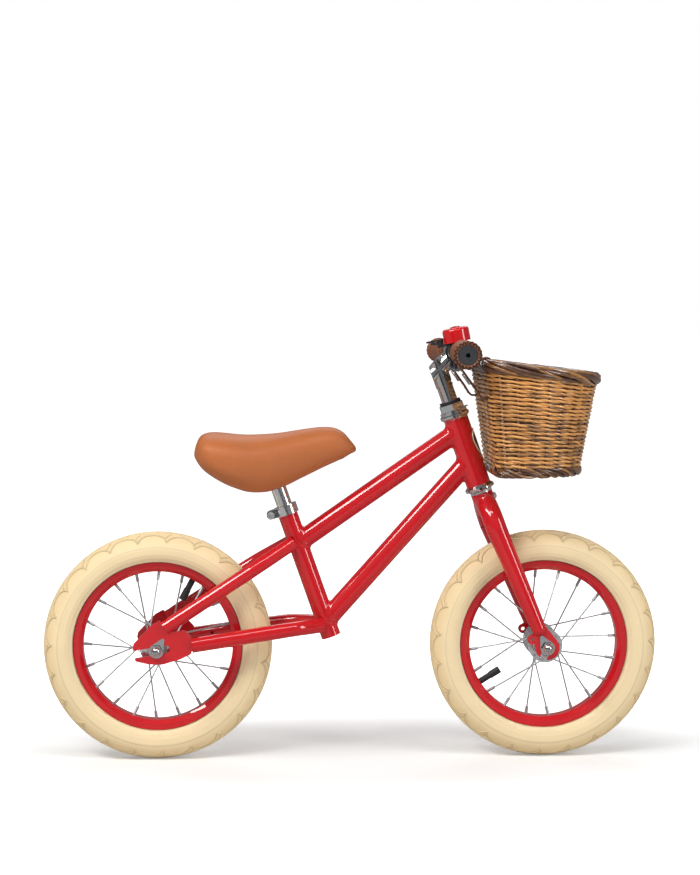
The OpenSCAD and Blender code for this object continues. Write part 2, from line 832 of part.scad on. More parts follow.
module front_hub() { color("#c4c8cd") at_front_axle() rotate([0, -front_spoke_phase, 0]) hub(); }
module front_spokes() { color("#d5d8dc") at_front_axle() spokes(front_spoke_phase); }
module front_nipples() { color("#e0e2e5") at_front_axle() nipples(front_spoke_phase); }
module front_rim() { color("#c8161d") at_front_axle() rim(front_spoke_phase, front_valve_angle); }
module front_inner_tube() { color("#2b2b2d") at_front_axle() inner_tube(front_valve_angle); }
module front_tyre() { color("#f3d9a0") at_front_axle() tyre(); }
module front_axle() { color("#9ea2a8") at_front_axle() axle(fork_spacing); }
module front_bearings() { color("#aeb2b8") at_front_axle() bearings(); }
module front_spacers() { color("#8f9399") at_front_axle() spacers(fork_spacing); }
module front_tab_washers() { color("#d2d5d9") at_front_axle() tab_washers(fork_spacing, front_tab_angle); }
module front_axle_nuts() { color("#dfe1e4") at_front_axle() axle_nuts(fork_spacing); }

module rear_hub() { color("#c4c8cd") at_rear_axle() rotate([0, -rear_spoke_phase, 0]) hub(); }
module rear_spokes() { color("#d5d8dc") at_rear_axle() spokes(rear_spoke_phase); }
module rear_nipples() { color("#e0e2e5") at_rear_axle() nipples(rear_spoke_phase); }
module rear_rim() { color("#c8161d") at_rear_axle() rim(rear_spoke_phase, rear_valve_angle); }
module rear_inner_tube() { color("#2b2b2d") at_rear_axle() inner_tube(rear_valve_angle); }
module rear_tyre() { color("#f3d9a0") at_rear_axle() tyre(); }
module rear_axle() { color("#9ea2a8") at_rear_axle() axle(rear_spacing); }
module rear_bearings() { color("#aeb2b8") at_rear_axle() bearings(); }
module rear_spacers() { color("#8f9399") at_rear_axle() spacers(rear_spacing); }
module rear_tab_washers() { color("#d2d5d9") at_rear_axle() tab_washers(rear_spacing, rear_tab_angle); }
module rear_axle_nuts() { color("#dfe1e4") at_rear_axle() axle_nuts(rear_spacing); }

// ---------------------------------------------------------------- fork

module fork_steerer() {
    color("#a9adb3") steering_frame() translate([0, 0, steerer_low_s]) difference() {
        cylinder(d = steerer_d, h = seal_s - steerer_low_s);
        translate([0, 0, -cut])
            cylinder(d = quill_d + 2 * running_fit, h = seal_s - steerer_low_s + 2 * cut);
    }
}

// Two bent tubes that meet under the head tube
bend_r = 34;
leg_start_s = fork_length - leg_top_d / 2 - bend_r;

crown_d = leg_top_d + 1.6;

module fork_crown() {
    color("#c8161d") steering_frame() difference() {
        union() {
            translate([0, 0, fork_length - leg_top_d]) cylinder(d = crown_d, h = leg_top_d);
            mirrored_y() translate([0, leg_top_y - bend_r, leg_start_s]) {
                rotate([90, 0, 90]) rotate_extrude(angle = 90) translate([bend_r, 0])
                    circle(d = leg_top_d);
                translate([0, 0, bend_r]) rotate([90, 0, 0])
                    cylinder(d = leg_top_d, h = leg_top_y - bend_r);
            }
        }
        mirrored_y() translate([0, leg_top_y - bend_r, leg_start_s]) rotate([90, 0, 90])
            rotate_extrude(angle = 60) translate([bend_r, 0]) circle(d = leg_top_d - 2 * leg_wall);
        translate([0, 0, steerer_low_s - 40])
            cylinder(d = steerer_d + 2 * weld_gap, h = 100);
    }
}

// Tapered legs, closed by a round end where the dropout plate enters
leg_end = [9, fork_plate_y, 27];
leg_wall = 2;
tongue_r = 8.5;

module fork_legs() {
    top = [0, leg_top_y, leg_start_s - weld_gap];
    v = top - leg_end;
    plug_l = 14;
    slot_low_s = leg_end.z - leg_bottom_d;
    slot_high_s = leg_end.z + tongue_r + weld_gap;
    color("#c8161d") steering_frame() mirrored_y() difference() {
        translate(leg_end) rotate([0, acos(v.z / norm(v)), atan2(v.y, v.x)]) difference() {
            union() {
                cylinder(d1 = leg_bottom_d, d2 = leg_top_d, h = norm(v));
                sphere(d = leg_bottom_d - 0.1);
            }
            translate([0, 0, plug_l])
                cylinder(d1 = leg_bottom_d - 2 * leg_wall, d2 = leg_top_d - 2 * leg_wall, h = norm(v));
        }
        translate([-30, leg_top_y - 30, leg_start_s - weld_gap]) cube(60);
        translate([leg_end.x - leg_bottom_d, fork_plate_y - dropout_t / 2 - weld_gap, slot_low_s])
            cube([2 * leg_bottom_d, dropout_t + 2 * weld_gap, slot_high_s - slot_low_s]);
    }
}

// Dropout plate about the front axle, drawn in the bike's own X and Z
eyelet_at = [-19.7, 10.9];

module fork_dropout_outline() {
    neck_angle = 114;
    slot_angle = -111;
    difference() {
        union() {
            rotate(neck_angle) teardrop(15.5, tongue_r, leg_end.z);
            translate(eyelet_at) rotate(atan2(6, 11)) teardrop(6.1, 6.1, 12);
        }
        circle(d = slot_w);
        rotate(slot_angle) translate([0, -slot_w / 2]) square([30, slot_w]);
        translate(eyelet_at) circle(d = eyelet_hole_d);
        rotate(front_tab_angle) translate([tab_reach, 0]) circle(d = tab_pin_d + 0.4);
    }
}

module fork_dropouts() {
    color("#c8161d") mirrored_y() at_front_axle() translate([0, fork_plate_y, 0])
        y_plate(dropout_t) fork_dropout_outline();
}

// Small plated screw in the front of the crown
module crown_screw() {
    color("#d5d8dc") steering_frame() translate([0, 0, fork_length - 9]) difference() {
        translate([crown_d / 2 - 1, 0, 0]) rotate([0, 90, 0]) {
            cylinder(d = 9, h = 2.6);
            cylinder(d = 6, h = 4.2);
        }
        cylinder(d = crown_d + 2 * weld_gap, h = 20, center = true);
    }
}

module crown_race() {
    color("#b9bcc2") steering_frame() translate([0, 0, fork_length + 0.02]) rotate_extrude()
        polygon([
            [steerer_d / 2 + 0.02, 0], [crown_d / 2, 0], [crown_d / 2, 1.4],
            [cup_d / 2 - 4.6, race_h - 0.4], [steerer_d / 2 + 0.02, race_h - 0.4]
        ]);
}

// Ring of loose balls between a cup and its race
module ball_ring(s) {
    ball_circle_r = cup_d / 2 - 2.4 - ball_d / 2 - 0.06;
    translate([0, 0, s]) for (i = [0 : ball_count - 1])
        rotate(i * 360 / ball_count) translate([ball_circle_r, 0, 0]) sphere(d = ball_d);
}

module headset_balls() {
    low_s = fork_length + race_h + ball_d / 2 - 0.3;
    high_s = top_race_s - ball_d / 2 - 0.05;
    color("#c9ccd1") steering_frame() {
        ball_ring(low_s);
        ball_ring(high_s + 0.2);
    }
}

module headset_top_race() {
    color("#c9ccd1") steering_frame() translate([0, 0, top_race_s + 0.2]) rotate_extrude()
        polygon([
            [steerer_d / 2 + 0.02, 0], [cup_d / 2 - 3, 0], [cup_d / 2 - 3, 1.2],
            [cup_d / 2 - 1.6, 1.8], [cup_d / 2 - 1.6, top_race_h - 0.25],
            [steerer_d / 2 + 0.02, top_race_h - 0.25]
        ]);
}

module headset_lock_washer() {
    washer_d = locknut_flats + 2;
    color("#d2d5d9") steering_frame() translate([0, 0, washer_s]) difference() {
        union() {
            cylinder(d = washer_d, h = lock_washer_t - 0.05);
            // Tooth that a wrench or cable hanger sits against
            translate([0, -3, 0]) cube([cup_d / 2 + 1, 6, lock_washer_t - 0.05]);
        }
        translate([0, 0, -cut]) cylinder(d = steerer_d + 0.04, h = 2 * cut + lock_washer_t);
    }
}

module headset_locknut() {
    color("#c4c8cd") steering_frame() translate([0, 0, locknut_s]) difference() {
        rotate(30) cylinder(r = locknut_flats / 2 / cos(30), h = locknut_h - 0.05, $fn = 6);
        translate([0, 0, -cut]) cylinder(d = steerer_d + 0.04, h = locknut_h + 2 * cut);
    }
}

module headset_seal() {
    color("#1d1d1f") steering_frame() translate([0, 0, seal_s]) difference() {
        cylinder(d = locknut_flats - 2, h = seal_h);
        translate([0, 0, -cut]) cylinder(d = quill_d + 2 * running_fit, h = seal_h + 2 * cut);
    }
}

// ---------------------------------------------------------------- stem and bar

module quill_stem() {
    shoulder_s = seal_top_s + shoulder_h;
    reach_l = stem_reach / cos(extension_angle);
    slit = 2;
    cut_l = stem_rise + stem_d;
    color("#c9ccd1") steering_frame() difference() {
        union() {
            translate([0, 0, quill_low_s]) cylinder(d = quill_d, h = corner_s - quill_low_s);
            difference() {
                translate([0, 0, shoulder_s]) cylinder(d = stem_d, h = stem_rise);
                // Mitre that cuts the corner to the slope of the extension
                translate([0, 0, corner_s]) rotate([0, -extension_angle, 0])
                    translate([-cut_l / 2, -cut_l / 2, stem_d / 2]) cube(cut_l);
            }
            translate([0, 0, corner_s]) rotate([0, 90 - extension_angle, 0]) difference() {
                translate([0, 0, -stem_d]) cylinder(d = stem_d, h = reach_l + stem_d);
                // The extension ends at the back of the column
                rotate([0, extension_angle - 90, 0])
                    translate([0.6 - cut_l - stem_d / 2, -cut_l / 2, -cut_l / 2]) cube(cut_l);
            }
            translate([bar_n, 0, bar_s]) y_disc(bar_clamp_d, bar_clamp_w);
            // Ears of the handlebar clamp, under the bar
            translate([bar_n, 0, bar_s]) rotate([0, ear_angle, 0])
                translate([bar_clamp_d / 2 - 4, -bar_clamp_w / 2 + 5, -7]) cube([14, bar_clamp_w - 10, 14]);
        }
        translate([bar_n, 0, bar_s]) y_disc(bar_d + 2 * running_fit, bar_clamp_w + 2 * cut);
        translate([bar_n, 0, bar_s]) rotate([0, ear_angle, 0]) {
            translate([0, -bar_clamp_w / 2 - cut, -slit / 2]) cube([40, bar_clamp_w + 2 * cut, slit]);
            translate([bar_clamp_d / 2 + 4, 0, -10]) cylinder(d = stem_bolt_d + 0.2, h = 20);
        }
        // Bore of the long bolt, with a well for its head at the top
        translate([0, 0, quill_low_s - cut]) cylinder(d = stem_bolt_d + 1, h = 200);
        translate([0, 0, corner_s - 4]) cylinder(d = 11, h = 60);
        // Slanted foot that rides on the wedge
        translate([0, 0, quill_low_s]) rotate([0, 35, 0]) translate([-30, -30, -60]) cube(60);
    }
}

module quill_bolt() {
    head_h = 6;
    color("#b9bcc2") steering_frame() difference() {
        union() {
            translate([0, 0, quill_low_s - wedge_l + 3])
                cylinder(d = stem_bolt_d, h = corner_s - 4 - quill_low_s + wedge_l - 3 + 0.5);
            translate([0, 0, corner_s - 4 + seat_gap]) cylinder(d = 10, h = head_h);
        }
        translate([0, 0, corner_s - 4 + head_h - 3]) cylinder(d = 5.8, h = 4, $fn = 6);
    }
}

module quill_wedge() {
    color("#9ea2a8") steering_frame() difference() {
        translate([0, 0, quill_low_s - wedge_l]) cylinder(d = quill_d - 0.2, h = wedge_l + 10);
        translate([0, 0, quill_low_s - seat_gap]) rotate([0, 35, 0]) translate([-30, -30, 0]) cube(60);
        translate([0, 0, quill_low_s - wedge_l - cut]) cylinder(d = stem_bolt_d + 0.04, h = wedge_l + 20);
    }
}

module stem_clamp_bolt() {
    color("#b9bcc2") steering_frame() translate([bar_n, 0, bar_s]) rotate([0, ear_angle, 0])
        translate([bar_clamp_d / 2 + 4, 0, 0]) difference() {
            union() {
                translate([0, 0, -7.5]) cylinder(d = stem_bolt_d, h = 14.5 + seat_gap);
                translate([0, 0, 7 + seat_gap]) cylinder(d = 10, h = 5);
            }
            translate([0, 0, 9.5]) cylinder(d = 5.8, h = 4, $fn = 6);
        }
}

// Middle of the bar, and the start and direction of its swept left end
sweep_r = 60;
bar_centre = [bar_x, 0, bar_z];
bar_back = [-cos(head_angle), 0, -sin(head_angle)];
bar_bend = bar_centre + [0, straight_half + sweep_r * sin(sweep_angle), 0]
    + bar_back * sweep_r * (1 - cos(sweep_angle));
bar_run = bar_w / 2 - straight_half - sweep_r * sin(sweep_angle);
sweep_dir = [0, cos(sweep_angle), 0] + bar_back * sin(sweep_angle);
function along_bar(l) = bar_bend + sweep_dir * l;

module bar_ring(step = 0) {
    difference() {
        circle(d = bar_d - step);
        circle(d = bar_d - 2 * bar_wall + step);
    }
}

module handlebar() {
    end_l = bar_run - plug_t;
    color("#c9ccd1") translate(bar_centre) rotate([0, -head_angle, 0]) {
        // Thicker wall inside, under the stem clamp
        difference() {
            y_disc(bar_d - bar_wall, bar_clamp_w);
            y_disc(bar_d - 3 * bar_wall, bar_clamp_w + cut);
        }
        mirrored_y() rotate([-90, 0, 0]) linear_extrude(height = straight_half) bar_ring();
        mirrored_y() translate([-sweep_r, straight_half, 0]) {
            rotate(-bend_lap) rotate_extrude(angle = sweep_angle + 2 * bend_lap)
                translate([sweep_r, 0]) bar_ring(bend_step);
            rotate(sweep_angle) translate([sweep_r, 0, 0]) rotate([-90, 0, 0])
                linear_extrude(height = end_l) bar_ring();
        }
    }
}

module grips() {
    collar_l = 9;
    start = bar_run - grip_l;
    color("#a8562c") mirrored_y() difference() {
        union() {
            rod(along_bar(start), along_bar(bar_run), grip_d);
            rod(along_bar(start), along_bar(start + 5), grip_d + 2);
            rod(along_bar(bar_run - collar_l), along_bar(bar_run), grip_collar_d);
        }
        rod(along_bar(start - cut), along_bar(bar_run - plug_t + 0.1), bar_d + 2 * seat_gap);
        rod(along_bar(bar_run - plug_t), along_bar(bar_run + cut), plug_d + 2 * seat_gap);
    }
}

module bar_end_plugs() {
    plug_hole_d = 5.4;
    color("#3a3d42") mirrored_y() difference() {
        union() {
            rod(along_bar(bar_run - plug_t + 0.1), along_bar(bar_run), plug_d);
            rod(along_bar(bar_run - 20), along_bar(bar_run - 2), bar_d - 2 * bar_wall - 0.2);
        }
        rod(along_bar(bar_run - 12), along_bar(bar_run + cut), plug_hole_d);
    }
}

// Places children at the bell: the bar axis at the origin, +Z up the bell
module bell_frame() {
    translate([bar_x, -bell_y, bar_z]) rotate([0, -bell_tilt, 0]) children();
}

bell_band_w = 15;
bell_band_t = 3;
bell_rim_z = bar_d / 2 + 2;
bell_base_z = bell_rim_z + 1.5;
bell_arm_t = 2.4;
bell_arm_z = bell_rim_z - 0.3 - bell_arm_t;
bell_lever_x = -bell_d / 2 - 5;
lever_pin_d = 3;

module bell_bracket() {
    band_d = bar_d + 2 * bell_band_t;
    post_d = 10;
    color("#1b1b1d") bell_frame() difference() {
        union() {
            y_disc(band_d, bell_band_w);
            translate([0, 0, bar_d / 2]) cylinder(d = post_d, h = bell_base_z - bar_d / 2 + 1);
            translate([0, 0, bell_base_z]) cylinder(d = bell_d - 8, h = 2.4);
            // Arm to the lever pivot
            translate([bell_lever_x, -4, bell_arm_z]) cube([-bell_lever_x - 5, 8, bell_arm_t]);
            translate([bell_lever_x, 0, bell_arm_z - 0.5]) cylinder(d = 9, h = bell_arm_t + 0.5);
            // Closing ear of the band, under the bar, with its strap tail
            translate([-10, -4, -band_d / 2 - 6]) cube([8, 8, 11]);
            translate([-6, -1.5, -band_d / 2 - 5]) rotate([0, 24, 0]) cube([17, 3, 1.6]);
        }
        y_disc(bar_d + 2 * seat_gap, bell_band_w + 2 * cut);
        translate([0, 0, bell_base_z - 2]) cylinder(d = bell_post_d + 0.2, h = 12);
        translate([bell_lever_x, 0, bell_arm_z - 2]) cylinder(d = lever_pin_d + 2 * running_fit, h = 8);
    }
}

// Cup of the bell, as [radius, height] above its rim
module dome_section() {
    shell_t = 1.6;
    edge_r = 4;
    difference() {
        union() {
            square([bell_d / 2, bell_h - edge_r]);
            square([bell_d / 2 - edge_r, bell_h]);
            translate([bell_d / 2 - edge_r, bell_h - edge_r]) circle(r = edge_r);
        }
        translate([-cut, -cut]) square([bell_d / 2 - shell_t + cut, bell_h - edge_r + cut]);
        translate([-cut, 0]) square([bell_d / 2 - edge_r + cut, bell_h - shell_t]);
        translate([bell_d / 2 - edge_r, bell_h - edge_r]) circle(r = edge_r - shell_t);
    }
}

bell_post_d = 4;

module bell_dome() {
    cap_d = 12;
    color("#e01b1f") bell_frame() translate([0, 0, bell_rim_z]) {
        rotate_extrude() dome_section();
        // Post and cap that hold the dome on its bracket
        translate([0, 0, 1]) cylinder(d = bell_post_d, h = bell_h);
        translate([0, 0, bell_h - 0.5]) cylinder(d = cap_d, h = 2);
    }
}

// Thumb lever on its own pin behind the dome
module bell_lever() {
    hub_z = bell_arm_z + bell_arm_t + 0.3;
    color("#1b1b1d") bell_frame() translate([bell_lever_x, 0, hub_z]) {
        translate([0, 0, -bell_arm_t]) cylinder(d = lever_pin_d, h = bell_arm_t + 1);
        cylinder(d = 8, h = 5);
        translate([0, 0, 5]) linear_extrude(height = 2.4) rotate(180) teardrop(4.5, 3.5, 14);
        translate([0, 0, 1]) linear_extrude(height = 2) rotate(180) teardrop(3.8, 3, 6);
    }
}

// ---------------------------------------------------------------- basket

// D-shaped slice of the basket: round in front, flat behind, thin in Z
module d_slice(back_x, l, w, back_z, drop, shrink, t) {
    front_r = w / 2 - shrink;
    corner_r = w / 8;
    middle = l - w / 2;
    translate([back_x, 0, back_z]) rotate([0, atan(drop / l), 0]) {
        translate([middle, 0, 0]) intersection() {
            cylinder(r = front_r, h = t, $fn = 48);
            translate([0, -w, 0]) cube([w, 2 * w, t]);
        }
        mirrored_y() translate([shrink + corner_r, front_r - corner_r, 0])
            cylinder(r = corner_r, h = t, $fn = 24);
    }
}

module basket_block(shrink, low, high) {
    hull() {
        d_slice(basket_foot_x, basket_foot_l, basket_foot_w, basket_foot_z + low, 0, shrink, 0.5);
        d_slice(basket_back_x, basket_l, basket_w, basket_rim_z - 0.5 + high, rim_drop, shrink, 0.5);
    }
}

module basket() {
    slot_w = strap_w + 2 * soft_gap;
    color("#b97a35") difference() {
        union() {
            basket_block(0, 0, 0);
            // Plaited border around the rim
            hull() {
                d_slice(basket_back_x, basket_l, basket_w, basket_rim_z - border_t, rim_drop, -1, 0.5);
                d_slice(basket_back_x, basket_l, basket_w, basket_rim_z - 1.5, rim_drop, -3, 0.5);
            }
        }
        basket_block(wicker_t, wicker_t, 2);
        mirrored_y() translate([basket_back_x - wicker_t, strap_y - slot_w / 2, strap_slot_z + 1 - strap_slot_h / 2])
            cube([basket_lean + 3 * wicker_t, slot_w, strap_slot_h]);
    }
}

// Strip of leather along points [x, z], rounded at each point
module strip(points, t) {
    for (i = [0 : len(points) - 2]) {
        v = points[i + 1] - points[i];
        translate(points[i]) rotate(atan2(v.y, v.x)) translate([0, -t / 2]) square([norm(v), t]);
        translate(points[i]) circle(d = t + 0.1, $fn = 24);
    }
    translate(points[len(points) - 1]) circle(d = t + 0.1, $fn = 24);
}

// Pie slice about the origin from one angle to another
module sector(from, to, r) {
    polygon([[0, 0], for (a = [from : (to - from) / 6 : to]) r * [cos(a), sin(a)]]);
}

// Each strap turns round the bar, over the border and back out through the wall
module basket_straps() {
    wrap_r = bar_d / 2 + soft_gap + strap_t / 2;
    bar_at = [bar_x, bar_z];
    top_point = [basket_back_x - 2, basket_rim_z + 3.4];
    wall_point = [basket_back_x + 1.5, strap_slot_z];
    top_reach = top_point - bar_at;
    low_reach = wall_point - bar_at;
    // Angles at which the two runs leave the bar
    top_a = atan2(top_reach.y, top_reach.x) + acos(wrap_r / norm(top_reach));
    low_a = 360 + atan2(low_reach.y, low_reach.x) - acos(wrap_r / norm(low_reach));
    inside_x = basket_back_x + wicker_t + 6.4;
    low_point = bar_at + wrap_r * [cos(low_a), sin(low_a)];
    run = wall_point - low_point;
    buckle_at = low_point + 0.5 * run;
    color("#6b3a1e") mirrored_y() translate([0, strap_y, 0]) {
        y_plate(strap_w) {
            translate(bar_at) difference() {
                circle(r = wrap_r + strap_t / 2);
                circle(r = wrap_r - strap_t / 2);
                sector(low_a - 360, top_a, 2 * bar_d);
            }
            strip([
                bar_at + wrap_r * [cos(top_a), sin(top_a)], top_point,
                [basket_back_x + 8, basket_rim_z + 2.6], [inside_x, basket_rim_z - 5],
                [inside_x + 3.2, strap_slot_z + 5.5], [inside_x, strap_slot_z + 1],
                wall_point, low_point
            ], strap_t);
        }
        // Buckle frame on the lower run
        translate([buckle_at.x, 0, buckle_at.y]) rotate([0, -atan2(run.y, run.x), 0]) difference() {
            cube([14, strap_w + 7, 5.5], center = true);
            cube([9, strap_w + 1, 10], center = true);
        }
    }
}

// ---------------------------------------------------------------- saddle

module seatpost() {
    post_wall = 1.6;
    low_t = seat_tube_l - post_depth;
    color("#c9ccd1") seat_frame() difference() {
        union() {
            translate([0, 0, low_t]) cylinder(d = post_d, h = pivot_t - low_t - 4);
            translate([0, 0, pivot_t]) y_disc(post_head_d, post_head_w);
        }
        translate([0, 0, low_t - cut])
            cylinder(d = post_d - 2 * post_wall, h = pivot_t - low_t - post_head_d / 2 - 2);
        translate([0, 0, pivot_t]) y_disc(clamp_pin_d + 2 * running_fit, post_head_w + 2 * cut);
    }
}

saddle_pivot = seat_point(pivot_t);

// Padded shape about the pivot: broad and deep behind, narrow at the nose
module saddle_body(shrink) {
    back_r = 28;
    waist_r = 20;
    nose_r = 20;
    back_x = back_r - saddle_l / 2 + 2;
    nose_x = saddle_l / 2 + 2 - nose_r;
    top_z = saddle_h - saddle_sink;
    belly = [-22, 12, 30 - saddle_sink];
    waist = [-26, saddle_w / 2 - waist_r - 6, top_z - 1.5 - waist_r];
    $fn = 24;
    hull() {
        mirrored_y() {
            translate([back_x, saddle_w / 2 - back_r, top_z - back_r]) sphere(r = back_r - shrink);
            translate(waist) sphere(r = waist_r - shrink);
            translate(belly) sphere(r = 30 - shrink);
        }
    }
    hull() {
        mirrored_y() {
            translate(waist) sphere(r = waist_r - shrink);
            translate(belly) sphere(r = 30 - shrink);
        }
        translate([nose_x - 27, 0, top_z + 7 - 24]) sphere(r = 24 - shrink);
        translate([nose_x, 0, top_z + 2 - nose_r]) sphere(r = nose_r - shrink);
    }
}

// Room under the padding, filled by the base
module saddle_room(shrink, deck_z) {
    intersection() {
        saddle_body(shrink);
        translate([-saddle_l, -saddle_w, -saddle_h]) cube([2 * saddle_l, 2 * saddle_w, saddle_h + deck_z]);
    }
}

module saddle_cover() {
    color("#b9622c") translate(saddle_pivot) difference() {
        saddle_body(0);
        saddle_room(cover_t, deck_z);
        seat_well();
    }
}

// Opening in the underside for the post
module seat_well() {
    translate([-well_l / 2, -well_w / 2, -saddle_h]) cube([well_l, well_w, saddle_h]);
}

module saddle_base() {
    lug_t = 4;
    lug_y = post_head_w / 2 + soft_gap;
    inner_deck = deck_z - soft_gap - base_t;
    color("#2a2a2c") translate(saddle_pivot) {
        difference() {
            saddle_room(cover_t + soft_gap, deck_z - soft_gap);
            saddle_room(cover_t + soft_gap + base_t, inner_deck);
            seat_well();
        }
        mirrored_y() translate([-9, lug_y, 0]) cube([18, lug_t, inner_deck + cut]);
        mirrored_y() translate([0, lug_y + lug_t / 2, 0]) y_disc(18, lug_t);
        y_disc(clamp_pin_d, 2 * (lug_y + lug_t));
    }
}

head_tube();
top_tube();
down_tube();
seat_tube();
seat_stays();
chain_stays();
rear_dropouts();
head_badge();
upper_headset_cup();
lower_headset_cup();
seat_clamp();
seat_clamp_bolt();
rear_axle();
rear_bearings();
rear_spacers();
rear_tab_washers();
rear_axle_nuts();
fork_steerer();
fork_crown();
fork_legs();
fork_dropouts();
crown_screw();
crown_race();
headset_balls();
headset_top_race();
headset_lock_washer();
headset_locknut();
headset_seal();
front_axle();
front_bearings();
front_spacers();
front_tab_washers();
front_axle_nuts();
front_hub();
front_spokes();
front_nipples();
front_rim();
front_inner_tube();
front_tyre();
rear_hub();
rear_spokes();
rear_nipples();
rear_rim();
rear_inner_tube();
rear_tyre();
quill_stem();
quill_bolt();
quill_wedge();
stem_clamp_bolt();
handlebar();
grips();
bar_end_plugs();
bell_bracket();
bell_dome();
bell_lever();
basket();
basket_straps();
seatpost();
saddle_cover();
saddle_base();
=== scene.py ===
"""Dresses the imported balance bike: finishes, woven basket, leather, tyres and studio."""

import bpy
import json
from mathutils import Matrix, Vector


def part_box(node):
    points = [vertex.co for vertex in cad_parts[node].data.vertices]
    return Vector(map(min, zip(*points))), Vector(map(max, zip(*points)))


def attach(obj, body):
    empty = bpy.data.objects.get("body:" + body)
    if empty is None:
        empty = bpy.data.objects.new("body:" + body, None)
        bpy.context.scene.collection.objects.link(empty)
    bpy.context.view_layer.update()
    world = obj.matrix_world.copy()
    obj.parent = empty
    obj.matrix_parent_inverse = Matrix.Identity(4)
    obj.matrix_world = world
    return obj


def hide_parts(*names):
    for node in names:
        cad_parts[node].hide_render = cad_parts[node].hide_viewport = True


bl_info = {
    "name": "Balance bike dressing",
    "version": (1, 0, 0),
    "blender": (4, 5, 0),
    "location": "3D View > Sidebar > Bike",
    "description": "Adds the finishes, basket, leather parts, tyres and studio of a balance bike",
    "category": "Object",
}

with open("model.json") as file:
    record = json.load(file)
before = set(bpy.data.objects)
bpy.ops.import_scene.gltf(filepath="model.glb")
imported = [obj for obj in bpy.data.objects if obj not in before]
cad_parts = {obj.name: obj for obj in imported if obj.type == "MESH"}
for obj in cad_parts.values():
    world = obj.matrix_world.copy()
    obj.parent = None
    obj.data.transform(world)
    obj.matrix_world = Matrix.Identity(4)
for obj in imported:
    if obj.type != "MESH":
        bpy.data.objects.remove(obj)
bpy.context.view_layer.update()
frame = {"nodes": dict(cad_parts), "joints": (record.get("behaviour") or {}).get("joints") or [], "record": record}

import json
import random
from functools import cache
from math import atan2, copysign, cos, degrees, exp, pi, radians, sin, sqrt, tau

import bmesh
import bpy
from bpy.props import FloatProperty, FloatVectorProperty, IntProperty, PointerProperty
from bpy.types import Operator, Panel, PropertyGroup
from mathutils import Vector

MM = 0.001

# ------------------------------------------------------------------ node trees


class Sock:
    """A node socket that takes part in Python arithmetic and adds its Math nodes."""

    def __init__(self, net, socket):
        self.net, self.socket = net, socket

    def math(self, operation, *values):
        return self.net.node("ShaderNodeMath", {"operation": operation}, dict(enumerate(values)))

    def __add__(self, other):
        return self.math("ADD", self, other)

    __radd__ = __add__

    def __sub__(self, other):
        return self.math("SUBTRACT", self, other)

    def __rsub__(self, other):
        return self.math("SUBTRACT", other, self)

    def __mul__(self, other):
        return self.math("MULTIPLY", self, other)

    __rmul__ = __mul__

    def __truediv__(self, other):
        return self.math("DIVIDE", self, other)

    def __abs__(self):
        return self.math("ABSOLUTE", self)

    def sin(self):
        return self.math("SINE", self)


class Net:
    """A node tree being built: values and links go in through node()."""

    def __init__(self, tree):
        self.tree = tree
        tree.nodes.clear()

    def feed(self, socket, value):
        if isinstance(value, Sock):
            self.tree.links.new(value.socket, socket)
        else:
            socket.default_value = value

    def node(self, kind, settings=None, inputs=None, out=0):
        node = self.tree.nodes.new(kind)
        for key, value in (settings or {}).items():
            if key == "stops":
                self.set_stops(node.color_ramp, value)
            else:
                setattr(node, key, value)
        for key, value in (inputs or {}).items():
            self.feed(node.inputs[key], value)
        return Sock(self, node.outputs[out]) if node.outputs else node

    @staticmethod
    def set_stops(ramp, stops):
        while len(ramp.elements) > 1:
            ramp.elements.remove(ramp.elements[-1])
        ramp.elements[0].position, ramp.elements[0].color = stops[0]
        for place, colour in stops[1:]:
            ramp.elements.new(place).color = colour


def rgba(colour, level=1.0):
    """A colour with its alpha, made lighter or darker by level."""
    return (*[min(1.0, c * level) for c in colour[:3]], 1.0)


